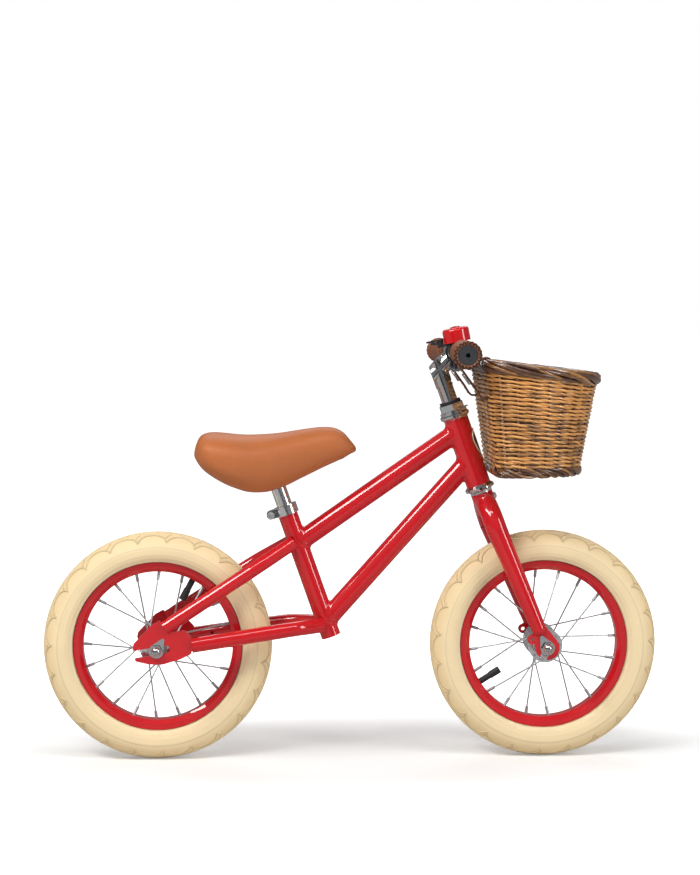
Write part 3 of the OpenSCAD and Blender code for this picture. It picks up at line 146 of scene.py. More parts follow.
class Finish(Net):
    """A material being built on Object coordinates."""

    def __init__(self, name):
        self.material = bpy.data.materials.new(name)
        self.material.use_nodes = True
        super().__init__(self.material.node_tree)
        self.place = self.node("ShaderNodeTexCoord", out=3)

    def split(self):
        """X, Y and Z of the place on the object."""
        return [self.node("ShaderNodeSeparateXYZ", inputs={0: self.place}, out=i) for i in range(3)]

    def length(self, x, y, z):
        """Length of the vector of three values."""
        joined = self.node("ShaderNodeCombineXYZ", inputs={0: x, 1: y, 2: z})
        return self.node("ShaderNodeVectorMath", {"operation": "LENGTH"}, {0: joined}, out=1)

    def noise(self, scale, detail=2.0, at=None, rough=0.5, distort=0.0):
        return self.node(
            "ShaderNodeTexNoise",
            inputs={"Vector": at or self.place, "Scale": scale, "Detail": detail,
                    "Roughness": rough, "Distortion": distort},
        )

    def cell_edges(self, scale):
        """Distance to the edges of a pattern of cells."""
        return self.node("ShaderNodeTexVoronoi", {"feature": "DISTANCE_TO_EDGE"},
                         {"Vector": self.place, "Scale": scale})

    def stretch(self, x, y, z):
        return self.node("ShaderNodeVectorMath", {"operation": "MULTIPLY"}, {0: self.place, 1: (x, y, z)})

    def attribute(self, name):
        """Number that the mesh holds at each point, or 0."""
        return self.node("ShaderNodeAttribute", {"attribute_name": name}, out=2)

    def ramp(self, value, low, high, start=0.0, end=1.0):
        """Number from low to high as value goes from start to end."""
        return self.node(
            "ShaderNodeMapRange", {"interpolation_type": "SMOOTHSTEP"},
            {"Value": value, "From Min": start, "From Max": end, "To Min": low, "To Max": high},
        )

    def blend(self, mask, first, second):
        """Colour that goes from first to second as mask goes from 0 to 1."""
        return self.node("ShaderNodeMix", {"data_type": "RGBA"}, {0: mask, 6: first, 7: second}, out=2)

    def relief(self, height, distance, strength, under=None):
        """Normal of a relief that rises distance metres where height is 1, on top of another relief."""
        inputs = {"Strength": strength, "Distance": distance, "Height": height}
        if under:
            inputs["Normal"] = under
        return self.node("ShaderNodeBump", inputs=inputs)

    def surface(self, **inputs):
        """Ends the material in a Principled shader."""
        names = {key.replace("_", " "): value for key, value in inputs.items()}
        shader = self.node("ShaderNodeBsdfPrincipled", inputs=names)
        self.node("ShaderNodeOutputMaterial", inputs={"Surface": shader})
        return self.material


class Tree(Net):
    """A Geometry Nodes tree with named inputs."""

    def __init__(self, name, **numbers):
        tree = bpy.data.node_groups.new(name, "GeometryNodeTree")
        super().__init__(tree)
        tree.interface.new_socket("Geometry", in_out="INPUT", socket_type="NodeSocketGeometry")
        tree.interface.new_socket("Geometry", in_out="OUTPUT", socket_type="NodeSocketGeometry")
        for key, value in numbers.items():
            kind = "NodeSocketInt" if isinstance(value, int) else "NodeSocketFloat"
            socket = tree.interface.new_socket(key.replace("_", " "), in_out="INPUT", socket_type=kind)
            socket.default_value = value
        tree.interface.new_socket("Material", in_out="INPUT", socket_type="NodeSocketMaterial")
        self.entry = tree.nodes.new("NodeGroupInput")

    def given(self, name):
        """One of the tree's named inputs."""
        return Sock(self, self.entry.outputs[name])

    def close(self, geometry):
        """Ends the tree in real faces with the material."""
        real = self.node("GeometryNodeRealizeInstances", inputs={"Geometry": geometry})
        done = self.node("GeometryNodeSetMaterial",
                         inputs={"Geometry": real, "Material": self.given("Material")})
        self.feed(self.tree.nodes.new("NodeGroupOutput").inputs[0], done)
        return self.tree


@cache
def rod_tree():
    """Sweeps a round rod along each path; the vertex attribute thick is its radius in metres."""
    t = Tree("rods along paths", Sides=8, Uneven=0.0, Grain=60.0, Seed=1)
    path = t.node("GeometryNodeMeshToCurve", inputs={"Mesh": t.given("Geometry")})
    thick = t.node("GeometryNodeInputNamedAttribute", {"data_type": "FLOAT"}, {"Name": "thick"})
    spot = t.node("GeometryNodeInputPosition")
    shift = t.node("ShaderNodeVectorMath", {"operation": "ADD"},
                   {0: spot, 1: t.node("ShaderNodeCombineXYZ", inputs={0: t.given("Seed") * 3.7})})
    wobble = t.node("ShaderNodeTexNoise", inputs={"Vector": shift, "Scale": t.given("Grain"), "Detail": 1.0})
    radius = thick * (1 + (wobble - 0.5) * t.given("Uneven"))
    ring = t.node("GeometryNodeCurvePrimitiveCircle", {"mode": "RADIUS"},
                  {"Resolution": t.given("Sides"), "Radius": 1.0})
    swept = t.node("GeometryNodeCurveToMesh",
                   inputs={"Curve": path, "Profile Curve": ring, "Scale": radius, "Fill Caps": True})
    smooth = t.node("GeometryNodeSetShadeSmooth", inputs={"Geometry": swept})
    return t.close(smooth)


@cache
def ring_tree():
    """Repeats the mesh in equal steps about the Y axis through a centre."""
    t = Tree("repeat about axle", Count=20, Centre_X=0.0, Centre_Z=0.0, Phase=0.0)
    centre = t.node("ShaderNodeCombineXYZ", inputs={0: t.given("Centre X"), 2: t.given("Centre Z")})
    back = t.node("ShaderNodeVectorMath", {"operation": "SCALE"}, {0: centre, "Scale": -1.0})
    homed = t.node("GeometryNodeTransform", inputs={"Geometry": t.given("Geometry"), "Translation": back})
    points = t.node("GeometryNodePoints", inputs={"Count": t.given("Count"), "Position": centre})
    turn = t.node("GeometryNodeInputIndex") * tau / t.given("Count") + t.given("Phase")
    euler = t.node("ShaderNodeCombineXYZ", inputs={1: turn})
    copies = t.node("GeometryNodeInstanceOnPoints",
                    inputs={"Points": points, "Instance": homed, "Rotation": euler})
    return t.close(copies)


def grown(obj, tree, material, **values):
    """obj with the tree's result as its plain mesh."""
    modifier = obj.modifiers.new(tree.name, "NODES")
    modifier.node_group = tree
    for item in tree.interface.items_tree:
        if item.in_out != "INPUT" or item.name == "Geometry":
            continue
        key = item.name.replace(" ", "_")
        if item.name == "Material":
            modifier[item.identifier] = material
        elif key in values:
            modifier[item.identifier] = values[key]
    depsgraph = bpy.context.evaluated_depsgraph_get()
    mesh = bpy.data.meshes.new_from_object(obj.evaluated_get(depsgraph))
    obj.modifiers.clear()
    obj.data = mesh
    if not mesh.materials:
        mesh.materials.append(material)
    if not mesh.polygons:
        raise RuntimeError(f"{obj.name} came out empty")
    return obj


# ------------------------------------------------------------------ meshes


def new_object(name, mesh, material=None):
    """Object of the mesh at the origin."""
    obj = bpy.data.objects.new(name, mesh)
    bpy.context.scene.collection.objects.link(obj)
    if material:
        mesh.materials.append(material)
    return obj


def solid(name, vertices, faces, material, smooth=True):
    """A closed mesh object with its faces pointing outwards."""
    mesh = bpy.data.meshes.new(name)
    mesh.from_pydata([tuple(v) for v in vertices], [], faces)
    work = bmesh.new()
    work.from_mesh(mesh)
    bmesh.ops.remove_doubles(work, verts=work.verts, dist=1e-6)
    bmesh.ops.recalc_face_normals(work, faces=work.faces)
    work.to_mesh(mesh)
    work.free()
    for face in mesh.polygons:
        face.use_smooth = smooth
    return new_object(name, mesh, material)


def loft(name, rings, material, closed=False):
    """Joins rings of equal length into one skin, with its ends capped or joined."""
    n = len(rings[0])
    vertices = [v for ring in rings for v in ring]
    faces = []
    for i in range(len(rings) if closed else len(rings) - 1):
        a, b = i * n, (i + 1) % len(rings) * n
        faces += [(a + j, a + (j + 1) % n, b + (j + 1) % n, b + j) for j in range(n)]
    if not closed:
        faces += [tuple(range(n))[::-1], tuple(range(len(vertices) - n, len(vertices)))]
    return solid(name, vertices, faces, material)


def frame_of(direction):
    """Two unit vectors square to a direction."""
    d = Vector(direction).normalized()
    side = d.cross(Vector((0, 0, 1)) if abs(d.z) < 0.9 else Vector((1, 0, 0))).normalized()
    return side, d.cross(side)


def around(u, v, angle, radius=1.0):
    """Vector of a length and angle in the plane of two unit vectors."""
    return (u * cos(angle) + v * sin(angle)) * radius


def bow(value, exponent):
    """Power of a sine or cosine that keeps its sign, which squares off or rounds an outline."""
    return copysign(abs(value) ** exponent, value)


def turned(name, start, direction, profile, material, sides=64):
    """Body turned about an axis from (distance, radius) points in millimetres."""
    d = Vector(direction).normalized()
    u, v = frame_of(d)
    rings = []
    for along, radius in profile:
        centre = Vector(start) + d * along * MM
        rings.append([centre + around(u, v, tau * k / sides, radius) * MM for k in range(sides)])
    return loft(name, rings, material, closed=profile[0] == profile[-1])


def fitted(piece, body, node=None):
    """The piece on its body and the frame node that it replaces."""
    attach(piece, body)
    if node:
        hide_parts(node)
    return piece


def rods(name, paths, material, body, sides=8, uneven=0.0, seed=1, node=None, ring=None):
    """One mesh of round rods. A path is (points in metres, radius in metres, shade, closed).

    ring holds the inputs of ring_tree where the rods repeat about an axle.
    """
    mesh = bpy.data.meshes.new(name)
    vertices, edges, thick, shade = [], [], [], []
    for points, radius, tone, closed in paths:
        start, n = len(vertices), len(points)
        vertices += [tuple(p) for p in points]
        edges += [(start + i, start + i + 1) for i in range(n - 1)]
        if closed:
            edges.append((start + n - 1, start))
        thick += [radius] * n
        shade += tone if isinstance(tone, list) else [tone] * n
    mesh.from_pydata(vertices, edges, [])
    mesh.attributes.new("thick", "FLOAT", "POINT").data.foreach_set("value", thick)
    mesh.attributes.new("shade", "FLOAT", "POINT").data.foreach_set("value", shade)
    obj = grown(new_object(name, mesh), rod_tree(), material, Sides=sides, Uneven=uneven, Seed=seed)
    if ring:
        grown(obj, ring_tree(), material, **ring)
    return fitted(obj, body, node)


def smooth_path(points, steps=6, closed=False):
    """Catmull-Rom curve through the points."""
    points = [Vector(p) for p in points]
    n = len(points)
    spans = n if closed else n - 1
    result = []
    for i in range(spans):
        p0 = points[i - 1] if closed or i else points[0]
        p1, p2 = points[i], points[(i + 1) % n]
        p3 = points[(i + 2) % n] if closed or i + 2 < n else points[-1]
        for k in range(steps):
            t = k / steps
            result.append(0.5 * (2 * p1 + (p2 - p0) * t + (2 * p0 - 5 * p1 + 4 * p2 - p3) * t * t
                                 + (3 * p1 - p0 - 3 * p2 + p3) * t ** 3))
    if not closed:
        result.append(points[-1])
    return result


# ------------------------------------------------------------------ finishes


def enamel(name, colour):
    """Sprayed gloss enamel with a little orange peel and dust."""
    f = Finish(name)
    peel = f.noise(700, 1.0)
    drift = f.noise(14, 2.0)
    dust = f.ramp(f.noise(160, 3.0, rough=0.7), 0.0, 0.05, 0.6, 0.9)
    tone = f.blend(drift, rgba(colour, 0.86), rgba(colour, 1.08))
    return f.surface(
        Base_Color=tone, Roughness=0.32 + drift * 0.1 + dust,
        Coat_Weight=1.0, Coat_Roughness=0.02, Coat_IOR=1.62,
        Normal=f.relief(peel, 0.00001, 0.04), Specular_IOR_Level=0.1,
    )


def plated(name, colour, low=0.05, high=0.16, metal=0.92):
    """Bright plating with smudges and fine wipe marks."""
    f = Finish(name)
    smudge = f.noise(45, 3.0, rough=0.6)
    wipe = f.noise(260, 2.0, at=f.stretch(1, 6, 1))
    rough = f.ramp(smudge, low, high, 0.35, 0.7) + wipe * 0.03
    return f.surface(
        Base_Color=f.blend(smudge, rgba(colour, 0.93), rgba(colour)), Metallic=metal, Roughness=rough,
        Normal=f.relief(wipe, 0.00003, 0.4),
    )


def brushed(name, colour, rough):
    """Turned or drawn metal with fine lines across Y."""
    f = Finish(name)
    lines = f.noise(90, 2.0, at=f.stretch(4, 60, 4))
    stain = f.noise(25, 3.0)
    tarnish = f.ramp(stain, 0.0, 1.0, 0.35, 0.6)
    return f.surface(
        Base_Color=f.blend(tarnish, rgba(colour, 0.6), rgba(colour, 1.05)), Metallic=0.68,
        Roughness=rough - 0.08 + lines * 0.16 + stain * 0.06, Normal=f.relief(lines, 0.00006, 0.5),
    )


def moulded(name, colour, rough):
    """Moulded plastic or plain rubber with a fine texture."""
    f = Finish(name)
    pits = f.noise(900, 2.0)
    bloom = f.noise(35, 3.0, rough=0.65)
    return f.surface(
        Base_Color=f.blend(bloom, rgba(colour, 0.75), rgba(colour, 1.25)),
        Roughness=rough + bloom * 0.14, Normal=f.relief(pits, 0.00012, 0.6),
    )


def tyre_rubber(name, colour):
    """Cream rubber: fine radial ribs and a painted highlight along the bead, a moulded ring, tread lines painted
    darker as painted shade, and dust in the tread.
    """
    f = Finish(name)
    x, _, z = f.split()
    across = abs(x) - FRONT_AXLE.x
    up = z - FRONT_AXLE.z
    reach = f.length(across, 0.0, up)
    bead, ring = 0.1115, 0.1285
    angle = f.node("ShaderNodeMath", {"operation": "ARCTAN2"}, {0: up, 1: across})
    ribs = (angle * 360).sin() * f.ramp(reach, 1.0, 0.0, 0.1135, 0.122)
    blotch = f.noise(22, 3.0, rough=0.6)
    pores = f.noise(1100, 2.0)
    # Painted highlight: edge lightens the rubber in a thin band along the bead, where the inner sidewall turns
    # away from the light.
    edge = f.ramp(abs(reach - bead), 0.25, 0.0, 0.0, 0.002)
    line = f.ramp(abs(reach - ring), 0.4, 0.0, 0.0003, 0.001)
    worn = f.ramp(reach, 0.0, 0.35, 0.1435, 0.148) * f.noise(70, 3.0)
    tone = f.blend(blotch, rgba(colour, 0.93), rgba(colour, 1.05))
    tone = f.blend(f.ramp(reach, 0.0, 0.4, 0.128, 0.142), tone, rgba((0.84, 0.60, 0.30)))
    tone = f.blend(edge, tone, rgba((1.0, 0.86, 0.62)))
    # Painted shade: the raised tread lines carry shade 0.5 and are painted a darker cream here; the moulded ring
    # is a thin line of the same darker cream.
    tone = f.blend(line + f.attribute("shade") * 1.1, tone, rgba(colour, 0.62))
    tone = f.blend(worn, tone, rgba((0.62, 0.50, 0.34)))
    return f.surface(
        Base_Color=tone, Roughness=0.52 + blotch * 0.14, Specular_IOR_Level=0.35,
        Normal=f.relief(pores, 0.0001, 0.5, under=f.relief(ribs, 0.00016, 0.7)),
    )


def hide(name, colour, grain, depth, rough, shine):
    """Leather: a grain of cells, creases of a depth in metres, uneven dye and a soft top coat."""
    f = Finish(name)
    pebble = f.ramp(f.cell_edges(grain), 0.0, 1.0, 0.0, 0.25)
    crease = f.noise(38, 5.0, rough=0.6, distort=0.6)
    dye = f.noise(16, 3.0, rough=0.6)
    tone = f.blend(dye, rgba(colour, 0.82), rgba(colour, 1.14))
    tone = f.blend(f.ramp(pebble, 0.22, 0.0), tone, rgba(colour, 0.55))
    return f.surface(
        Base_Color=tone, Roughness=rough + dye * 0.12 - pebble * 0.05, Coat_Weight=shine, Coat_Roughness=0.3,
        Specular_IOR_Level=0.35,
        Normal=f.relief(pebble, depth * 0.5, 0.55, under=f.relief(crease, depth, 0.35)),
    )


def willow(name, pale, dark):
    """Varnished willow rods: tone by rod, streaks of bark, and the dark tone of the rods that paint the shade in
    the hollows.
    """
    f = Finish(name)
    tone = f.attribute("shade")
    streak = f.noise(150, 4.0, at=f.stretch(1, 1, 3), rough=0.65, distort=0.4)
    knots = f.ramp(f.noise(60, 3.0, rough=0.7), 0.0, 1.0, 0.55, 0.72)
    mix = f.ramp(tone * 0.85 + streak * 0.55, 0.0, 1.0, 0.25, 1.05)
    body = f.blend(mix, rgba(dark), rgba(pale))
    body = f.blend(knots * 0.3, body, rgba(dark, 0.6))
    return f.surface(
        Base_Color=body, Roughness=0.3 + streak * 0.2, Coat_Weight=1.0, Coat_Roughness=0.09, Coat_IOR=1.75,
        Normal=f.relief(streak, 0.0005, 0.5),
    )


def thread(name, colour):
    """Twisted waxed thread."""
    f = Finish(name)
    x, y, z = f.split()
    twist = ((x + y + z) * 9000).sin()
    fuzz = f.noise(800, 2.0)
    return f.surface(
        Base_Color=f.blend(fuzz, rgba(colour, 0.8), rgba(colour, 1.15)), Roughness=0.62 + fuzz * 0.1,
        Normal=f.relief(twist, 0.00015, 0.6),
    )


def badge_plate(name, colour):
    """Bare anodised plate with a soft sheen."""
    f = Finish(name)
    haze = f.noise(70, 3.0)
    grain = f.noise(500, 2.0, at=f.stretch(1, 1, 8))
    return f.surface(
        Base_Color=f.blend(haze, rgba(colour, 0.85), rgba(colour, 1.15)), Metallic=0.55,
        Roughness=0.34 + haze * 0.14, Normal=f.relief(grain, 0.00005, 0.5),
    )


# ------------------------------------------------------------------ measures of the bike
# Places named after joints are in metres, and the other lengths in millimetres.

JOINTS = {j["name"]: j for j in frame["joints"]}
LOW_HEAD = Vector(JOINTS["steering"]["pos_m"])
COLUMN = Vector(JOINTS["steering"]["axis"]).normalized()
BAR_CENTRE = Vector(JOINTS["basket_swing"]["pos_m"])
SEAT_AXIS = Vector(JOINTS["seatpost_height"]["axis"]).normalized()
FRONT_AXLE = Vector(JOINTS["front_wheel_spin"]["pos_m"])
REAR_AXLE = Vector(JOINTS["rear_wheel_spin"]["pos_m"])

BAR = BAR_CENTRE / MM
BAR_BACK = Vector((-COLUMN.z, 0, COLUMN.x))
BAR_STRAIGHT = 82  # from the bar's centre to where it bends back
BAR_BEND = 60  # radius of that bend
BAR_SWEEP = radians(2.5)
GRIP_FROM, GRIP_TO = 15.4, 120.3  # ends of a grip, measured beyond the bend

HEAD_TUBE_R = 15.9
FRAME_TUBE_R = 12.7
SEAT_TUBE_FOOT = Vector((-26, 0, 157.6))
BADGE_R = 17.1  # of the badge's edge about the column
BADGE_FOOT = 26  # above the lower cup

RIM_DROP = 10  # the basket's rim below the bar's axis
BASKET_GAP = 25  # from the bar's axis to the back of the basket's rim
BASKET_LEAN = 19.5  # how much further ahead the foot's back is
FOOT_LENGTH, FOOT_WIDTH = 116, 180
RIM_LENGTH, RIM_WIDTH = 160, 230
RIM_FALL = 20  # from the rim's back to its front
WALL = 3.6  # from the basket's outside to the middle of its wall
STRAP_WIDTH, STRAP_THICK = 16, 2.3
STRAP_WRAP = 12.6  # radius of a strap's middle round the bar
STRAP_LOW = 212  # angle in degrees at which a strap comes back to the bar
SLOT_DROP = 48.5  # a strap's slot below the rim
THREAD_R = 0.32

TYRE_MIDDLE = 124.0  # radius at which the tyre's section has its centre
TYRE_BODY = 23.0  # radius of that section


def steering_point(ahead, along):
    """Point of the steering column, millimetres ahead of its axis and along it from the lower cup."""
    return LOW_HEAD + COLUMN * along * MM - BAR_BACK * ahead * MM


def tint(name, description, default):
    """Setting of a colour."""
    return FloatVectorProperty(name=name, description=description, subtype="COLOR",
                               size=3, min=0, max=1, default=default)


class BikeColours(PropertyGroup):
    """Colours of the finishes."""

    enamel: tint("Enamel", "Frame, fork and rims", (0.62, 0.008, 0.014))
    bell: tint("Bell", "Bell dome", (0.68, 0.006, 0.010))
    rubber: tint("Tyres", "Cream rubber of the tyres", (0.90, 0.72, 0.44))
    saddle: tint("Saddle", "Tan cover of the saddle", (0.52, 0.155, 0.045))
    grip: tint("Grips", "Brown leather of the grips", (0.27, 0.085, 0.035))
    strap: tint("Straps", "Dark leather of the basket straps", (0.13, 0.045, 0.02))
    willow_pale: tint("Pale willow", "Sunlit side of the willow rods", (0.84, 0.385, 0.09))
    # The dark willow is also the painted shade of the dark rods in the basket's hollows and plait cores.
    willow_dark: tint("Dark willow", "Bark and hollows of the willow rods", (0.09, 0.027, 0.008))


class BikeSizes(PropertyGroup):
    """Sizes of the pieces made here."""

    fillet: FloatProperty(name="Braze fillet", description="Leg of the fillet between two frame tubes",
                          default=5.0 * MM, min=0.001, max=0.01, unit="LENGTH")
    stakes: IntProperty(name="Basket stakes", description="Upright rods around the basket",
                        default=28, min=24, max=48)
    rows: IntProperty(name="Basket rows", description="Rows of weaving between foot and border",
                      default=22, min=16, max=30)
    rod: FloatProperty(name="Willow rod", description="Radius of a weaving rod", default=1.65 * MM,
                       min=0.001, max=0.004, unit="LENGTH")
    scallops: IntProperty(name="Tread scallops", description="Scallops around each shoulder of a tyre",
                          default=23, min=12, max=32)
    tread_rib: FloatProperty(name="Tread rib", description="Radius of the raised line of a scallop",
                             default=1.25 * MM, min=0.0003, max=0.002, unit="LENGTH")


def colours():
    return bpy.context.scene.bike_colours


def sizes():
    return bpy.context.scene.bike_sizes


@cache
def red():
    return enamel("red enamel", colours().enamel)


@cache
def chrome():
    return plated("chrome plate", (0.70, 0.71, 0.73), metal=0.97)


@cache
def cream():
    return tyre_rubber("cream tyre rubber", colours().rubber)


# ------------------------------------------------------------------ basket


def basket_level(h):
    """Outline of the basket at height h, 0 at the foot and 1 at the rim, in millimetres."""
    foot_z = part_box("basket")[0].z / MM
    rim_z = BAR.z - RIM_DROP
    return {
        "back": BAR.x + BASKET_GAP + BASKET_LEAN * (1 - h),
        "length": FOOT_LENGTH + (RIM_LENGTH - FOOT_LENGTH) * h,
        "width": FOOT_WIDTH + (RIM_WIDTH - FOOT_WIDTH) * h,
        "z": foot_z + (rim_z - foot_z) * h,
        "slope": -RIM_FALL / RIM_LENGTH * h,
    }


def basket_outline(h, inset, count, lift=0.0):
    """Evenly spaced points and outward normals of the D at height h, inset from its outside.

    A line piece holds its ends, and an arc its centre and its two angles and radius; the length comes last.
    """
    level = basket_level(h)
    half, corner = level["width"] / 2 - inset, level["width"] / 8
    flat, middle = half - corner, level["length"] - level["width"] / 2
    pieces = [
        ("line", Vector((inset, 0)), Vector((inset, flat)), flat),
        ("arc", Vector((inset + corner, flat)), (180, 90, corner), corner * pi / 2),
        ("line", Vector((inset + corner, half)), Vector((middle, half)), middle - inset - corner),
        ("arc", Vector((middle, 0)), (90, -90, half), half * pi),
        ("line", Vector((middle, -half)), Vector((inset + corner, -half)), middle - inset - corner),
        ("arc", Vector((inset + corner, -flat)), (270, 180, corner), corner * pi / 2),
        ("line", Vector((inset, -flat)), Vector((inset, 0)), flat),
    ]
    total = sum(p[3] for p in pieces)
    points = []
    for k in range(count):
        s = total * k / count
        for kind, a, b, length in pieces:
            if s <= length:
                break
            s -= length
        if kind == "line":
            at = a.lerp(b, s / length)
            run = (b - a).normalized()
            out = Vector((-run.y, run.x))
        else:
            turn = radians(b[0] + (b[1] - b[0]) * s / length)
            out = Vector((cos(turn), sin(turn)))
            at = a + out * b[2]
        z = level["z"] + lift + at.x * level["slope"]
        points.append((Vector((level["back"] + at.x, at.y, z)) * MM, Vector((out.x, out.y, 0))))
    return points


class BIKE_OT_basket(Operator):
    """Weaves the willow basket: stakes, rows, plaited rim and foot, and floor"""

    bl_idname = "bike.basket"
    bl_label = "Willow basket"

    def execute(self, context):
        self.finish = willow("varnished willow", colours().willow_pale, colours().willow_dark)
        self.dice = random.Random(11)
        self.rows()
        self.stakes()
        self.plait("basket_rim", h=0.957, strands=11, turns=3, spread=(4.6, 6.2), radius=2.2)
        self.plait("basket_foot", h=0.045, strands=6, turns=7, spread=(3.2, 4.8), radius=1.9)
        self.floor()
        return {"FINISHED"}

    def rows(self):
        """Pairs of rods that cross between the stakes, with a dark rod in the hollow between two rows as painted
        shade.
        """
        s, dice = sizes(), self.dice
        per_stake = 8
        count = s.stakes * per_stake
        first, last = 0.085, 0.905
        pitch = (last - first) / s.rows
        swing, rise = 1.5, 0.8
        paths = []
        for row in range(s.rows):
            h = first + pitch * (row + 0.5)
            for ply in (0, 1):
                outline = basket_outline(h, WALL, count, dice.uniform(-0.35, 0.35))
                tones, points = [], []
                cuts = sorted(dice.random() for _ in range(7))
                levels = [dice.choice((0.4, 0.65, 0.8, 0.95, 1.0)) * dice.uniform(0.85, 1) for _ in range(8)]
                wave = dice.uniform(0, 6.28)
                for k, (at, out) in enumerate(outline):
                    turn = pi * (k / per_stake + ply)
                    drift = 0.5 * sin(tau * 5 * k / count + wave)
                    shift = out * (0.2 + swing * cos(turn)) + Vector((0, 0, drift + rise * sin(turn)))
                    points.append(at + shift * MM)
                    tones.append(levels[sum(k / count > cut for cut in cuts)])
                paths.append((points, s.rod * dice.uniform(0.88, 1.1), tones, True))
            # Painted shade: a dark rod set back in the hollow between two rows.
            painted_shade_rod = [at for at, _ in basket_outline(h + pitch / 2, WALL + 2.2, s.stakes * 3)]
            paths.append((painted_shade_rod, s.rod * 1.1, 0.0, True))
        rods("basket_weave", paths, self.finish, "basket", sides=6, uneven=0.6, seed=3, node="basket")

    def stakes(self):
        """Upright rods inside the weave, each leaning a little."""
        paths = []
        heights = [0.01 + 0.93 * i / 14 for i in range(15)]
        columns = [basket_outline(h, WALL, sizes().stakes) for h in heights]
        for k in range(sizes().stakes):
            lean = self.dice.uniform(-1.2, 1.2)
            points = [column[k][0] + Vector((0, lean * MM * sin(pi * h), 0))
                      for h, column in zip(heights, columns)]
            paths.append((points, 1.75 * MM, self.dice.uniform(0.0, 0.4), False))
        rods("basket_stakes", paths, self.finish, "basket", sides=8, uneven=0.3, seed=4)

    def plait(self, name, h, strands, turns, spread, radius):
        """Bundle of rods that wind about a dark core on the wall's edge, which paints the shade between them;
        spread is sideways and up.
        """
        count = 300
        outline = basket_outline(h, WALL - 0.2, count)
        # Painted shade: a dark core rod inside the bundle, seen in the gaps between the strands.
        paths = [([at for at, _ in outline], 0.75 * spread[0] * MM, 0.0, True)]
        for strand in range(strands):
            points, tones = [], []
            tone = self.dice.uniform(-0.2, 0.3)
            wave = self.dice.uniform(0, 6.28)
            for k, (at, out) in enumerate(outline):
                turn = tau * (strand / strands + turns * k / count)
                turn += 0.45 * sin(tau * 4 * k / count + wave)
                wide = 1 + 0.14 * sin(tau * 5 * k / count + strand)
                shift = out * cos(turn) * spread[0] * wide + Vector((0, 0, 1)) * sin(turn) * spread[1]
                points.append(at + shift * MM)
                tones.append(tone + 0.2 * sin(tau * (2 * k / count + strand * 0.3)))
            paths.append((points, radius * MM, tones, True))
        rods(name, paths, self.finish, "basket", sides=8, uneven=0.45, seed=5)

    def floor(self):
        """Woven bottom: rings that shrink inwards over crossing rods."""
        h = 0.035
        paths = []
        for ring in range(14):
            outline = basket_outline(h, WALL + 2 + ring * 5.4, 120)
            points = [at + Vector((0, 0, 1.6 * MM * sin(k * pi / 5 + ring * pi)))
                      for k, (at, _) in enumerate(outline)]
            paths.append((points, 2.4 * MM, self.dice.uniform(0.2, 0.9), True))
        level = basket_level(h)
        half = level["width"] / 2
        for k in range(9):
            y = (k - 4) * 18
            reach = level["length"] - half + sqrt((half - 6) ** 2 - y * y)
            first, last = level["back"] + 5, level["back"] + reach - 4
            points = [Vector((first + (last - first) * i / 8, y, level["z"])) * MM for i in range(9)]
            paths.append((points, 2.0 * MM, self.dice.uniform(0.2, 0.7), False))
        rods("basket_floor", paths, self.finish, "basket", sides=7, uneven=0.4, seed=6)


# ------------------------------------------------------------------ leather


def band(name, path, width, thick, material):
    """Closed strap along a path in a plane square to Y, with rounded edges and a fuller face; millimetres."""
    bulge = 0.35
    rings = []
    for i, point in enumerate(path):
        run = (path[(i + 1) % len(path)] - path[i - 1]).normalized()
        out = Vector((-run.z, 0, run.x))
        ring = []
        for k in range(16):
            a = tau * k / 16
            across = bow(cos(a), 0.3) * width / 2
            up = bow(sin(a), 0.6) * thick / 2
            up += bulge * (1 - (2 * across / width) ** 2) if up > 0 else 0
            ring.append((point + Vector((0, across, 0)) + out * up) * MM)
        rings.append(ring)
    return loft(name, rings, material, closed=True)


def on_bar(angle):
    """Middle of a strap where it wraps the bar, at an angle in degrees."""
    return BAR + around(Vector((1, 0, 0)), Vector((0, 0, 1)), radians(angle), STRAP_WRAP)


def by_rim(ahead, above):
    """Point of a strap, ahead of the back of the basket's rim and above the bar's axis."""
    return Vector((basket_level(1)["back"] + ahead, 0, BAR.z + above))


def by_slot(ahead, above=0.0):
    """Point of a strap, ahead of the back of the basket's rim and above the strap's slot."""
    return by_rim(ahead, above - RIM_DROP - SLOT_DROP)


def strap_path():
    """Middle of a basket strap: round the bar, over the rim, through the wall and back."""
    knots = [on_bar(angle) for angle in range(STRAP_LOW, 61, -15)]
    knots += [by_rim(-2, -6.6), by_rim(8, -7.4), by_rim(13.4, -15)]
    knots += [by_slot(16.6, 22), by_slot(16.6, 5.5), by_slot(13.0, 1), by_slot(1.5)]
    knots += [knots[-1].lerp(on_bar(STRAP_LOW), t) for t in (0.25, 0.5, 0.75)]
    return smooth_path(knots, 5, closed=True), knots[-2]


